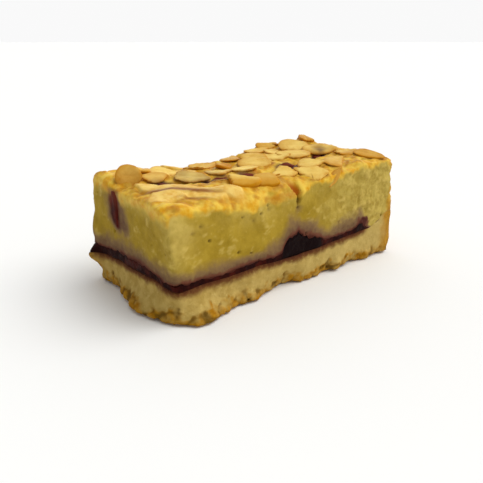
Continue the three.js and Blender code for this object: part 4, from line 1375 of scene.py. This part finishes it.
class BakewellColours(bpy.types.PropertyGroup):
    """Colours of each finish."""

    crumb: colour("Crumb", 174, 144, 44)
    crumb_deep: colour("Crumb, deeper", 156, 127, 32)
    # also the painted light near the top of the walls and the near corner
    crumb_light: colour("Crumb, light flecks", 212, 184, 96)
    dry: colour("Dry crumb", 194, 169, 82)
    dry_deep: colour("Dry crumb, deeper", 164, 137, 54)
    # painted highlight on the raised crumbs
    raised_highlight: colour("Crumb, raised", 206, 178, 92)
    # painted shade in the sponge's pores, pits and crack
    pore_shade: colour("Pores", 104, 80, 22)
    stain: colour("Jam stain, close", 102, 72, 54)
    stain_faint: colour("Jam stain, faint", 130, 102, 68)
    sponge_smear: colour("Jam smeared on the sponge", 76, 34, 24)
    sponge_soak: colour("Jam soaked into the sponge", 106, 62, 44)
    pastry_smear: colour("Jam smeared on the shortcrust", 78, 38, 20)
    pastry_soak: colour("Jam soaked into the shortcrust", 112, 72, 36)
    crust: colour("Crust", 216, 156, 24)
    crust_pale: colour("Crust, pale", 232, 194, 72)
    crust_amber: colour("Crust, amber", 198, 122, 14)
    # also painted shadow round the flakes and painted shade in the small hole
    toast: colour("Toasted crust", 156, 90, 16)
    caramel: colour("Caramel in the crack", 172, 92, 8)
    oval: colour("Brown oval", 140, 86, 30)
    pastry: colour("Shortcrust", 194, 165, 92)
    pastry_deep: colour("Shortcrust, deeper", 172, 142, 70)
    # also the painted light that lightens the shortcrust towards the tin end
    pastry_light: colour("Shortcrust, light", 206, 180, 108)
    # painted shade in the shortcrust's pits and between its clumps
    pastry_pit_shade: colour("Shortcrust, pits", 96, 68, 14)
    pastry_brown: colour("Baked shortcrust", 154, 102, 6)
    pastry_gold: colour("Golden shortcrust", 186, 134, 28)
    jam: colour("Jam", 34, 8, 6)
    jam_bright: colour("Jam, brighter", 68, 20, 12)
    jam_dark: colour("Jam, in lumps", 20, 6, 6)
    seep: colour("Jam seeped into the crust", 92, 58, 46)
    seam: colour("Jam in the seam", 58, 12, 8)
    seam_low: colour("Jam in the seam, lighter", 88, 28, 18)
    seam_high: colour("Jam at the top of the seam", 110, 50, 36)
    almond: colour("Almond", 250, 223, 128)
    almond_warm: colour("Almond, warm", 218, 164, 60)
    almond_gold: colour("Almond in syrup", 198, 136, 0)
    almond_toast: colour("Toasted almond", 184, 120, 26)
    almond_rim: colour("Almond rim", 192, 126, 20)
    almond_stain: colour("Almond, stained", 96, 66, 52)
    floor: colour("Floor", 245, 245, 243)


class BakewellSettings(bpy.types.PropertyGroup):
    """Everything that can be set."""

    sizes: PointerProperty(type=BakewellSizes, name="Sizes", description="Sizes of the finish")
    colours: PointerProperty(type=BakewellColours, name="Colours", description="Colours of each finish")


class BAKEWELL_OT_sponge(bpy.types.Operator):
    """Build the almond sponge"""

    bl_idname = "bakewell.sponge"
    bl_label = "Almond sponge"

    def execute(self, context):
        settings = context.scene.bakewell
        build_sponge(settings.sizes, settings.colours)
        return {"FINISHED"}


class BAKEWELL_OT_pastry(bpy.types.Operator):
    """Build the shortcrust base"""

    bl_idname = "bakewell.pastry"
    bl_label = "Shortcrust base"

    def execute(self, context):
        settings = context.scene.bakewell
        build_pastry(settings.sizes, settings.colours)
        return {"FINISHED"}


class BAKEWELL_OT_jam(bpy.types.Operator):
    """Build the jam layer and the vein"""

    bl_idname = "bakewell.jam"
    bl_label = "Jam"

    def execute(self, context):
        settings = context.scene.bakewell
        build_jam(settings.sizes, settings.colours)
        build_vein(settings.sizes, settings.colours)
        return {"FINISHED"}


class BAKEWELL_OT_flakes(bpy.types.Operator):
    """Build the flaked almonds"""

    bl_idname = "bakewell.flakes"
    bl_label = "Flaked almonds"

    def execute(self, context):
        settings = context.scene.bakewell
        build_flakes(settings.sizes, settings.colours)
        return {"FINISHED"}


class BAKEWELL_OT_stage(bpy.types.Operator):
    """Set the floor, the lights and the camera"""

    bl_idname = "bakewell.stage"
    bl_label = "Stage"

    def execute(self, context):
        build_stage(context.scene.bakewell.colours)
        return {"FINISHED"}


OPERATORS = (BAKEWELL_OT_pastry, BAKEWELL_OT_jam, BAKEWELL_OT_sponge, BAKEWELL_OT_flakes, BAKEWELL_OT_stage)


class BAKEWELL_PT_panel(bpy.types.Panel):
    """Lists the pieces"""

    bl_idname = "BAKEWELL_PT_panel"
    bl_label = "Bakewell slice"
    bl_space_type = "VIEW_3D"
    bl_region_type = "UI"
    bl_category = "Bakewell"

    def draw(self, context):
        """One button for each piece, and one for the stage."""
        for operator in OPERATORS:
            self.layout.operator(operator.bl_idname)


CLASSES = (BakewellSizes, BakewellColours, BakewellSettings, *OPERATORS, BAKEWELL_PT_panel)


def register():
    for cls in CLASSES:
        bpy.utils.register_class(cls)
    bpy.types.Scene.bakewell = PointerProperty(type=BakewellSettings)


def unregister():
    del bpy.types.Scene.bakewell
    for cls in reversed(CLASSES):
        bpy.utils.unregister_class(cls)


def main():
    """Builds the pieces and the stage in order."""
    register()
    bpy.ops.bakewell.pastry()
    bpy.ops.bakewell.jam()
    bpy.ops.bakewell.sponge()
    bpy.ops.bakewell.flakes()
    bpy.ops.bakewell.stage()


if __name__ == "__main__":
    main()
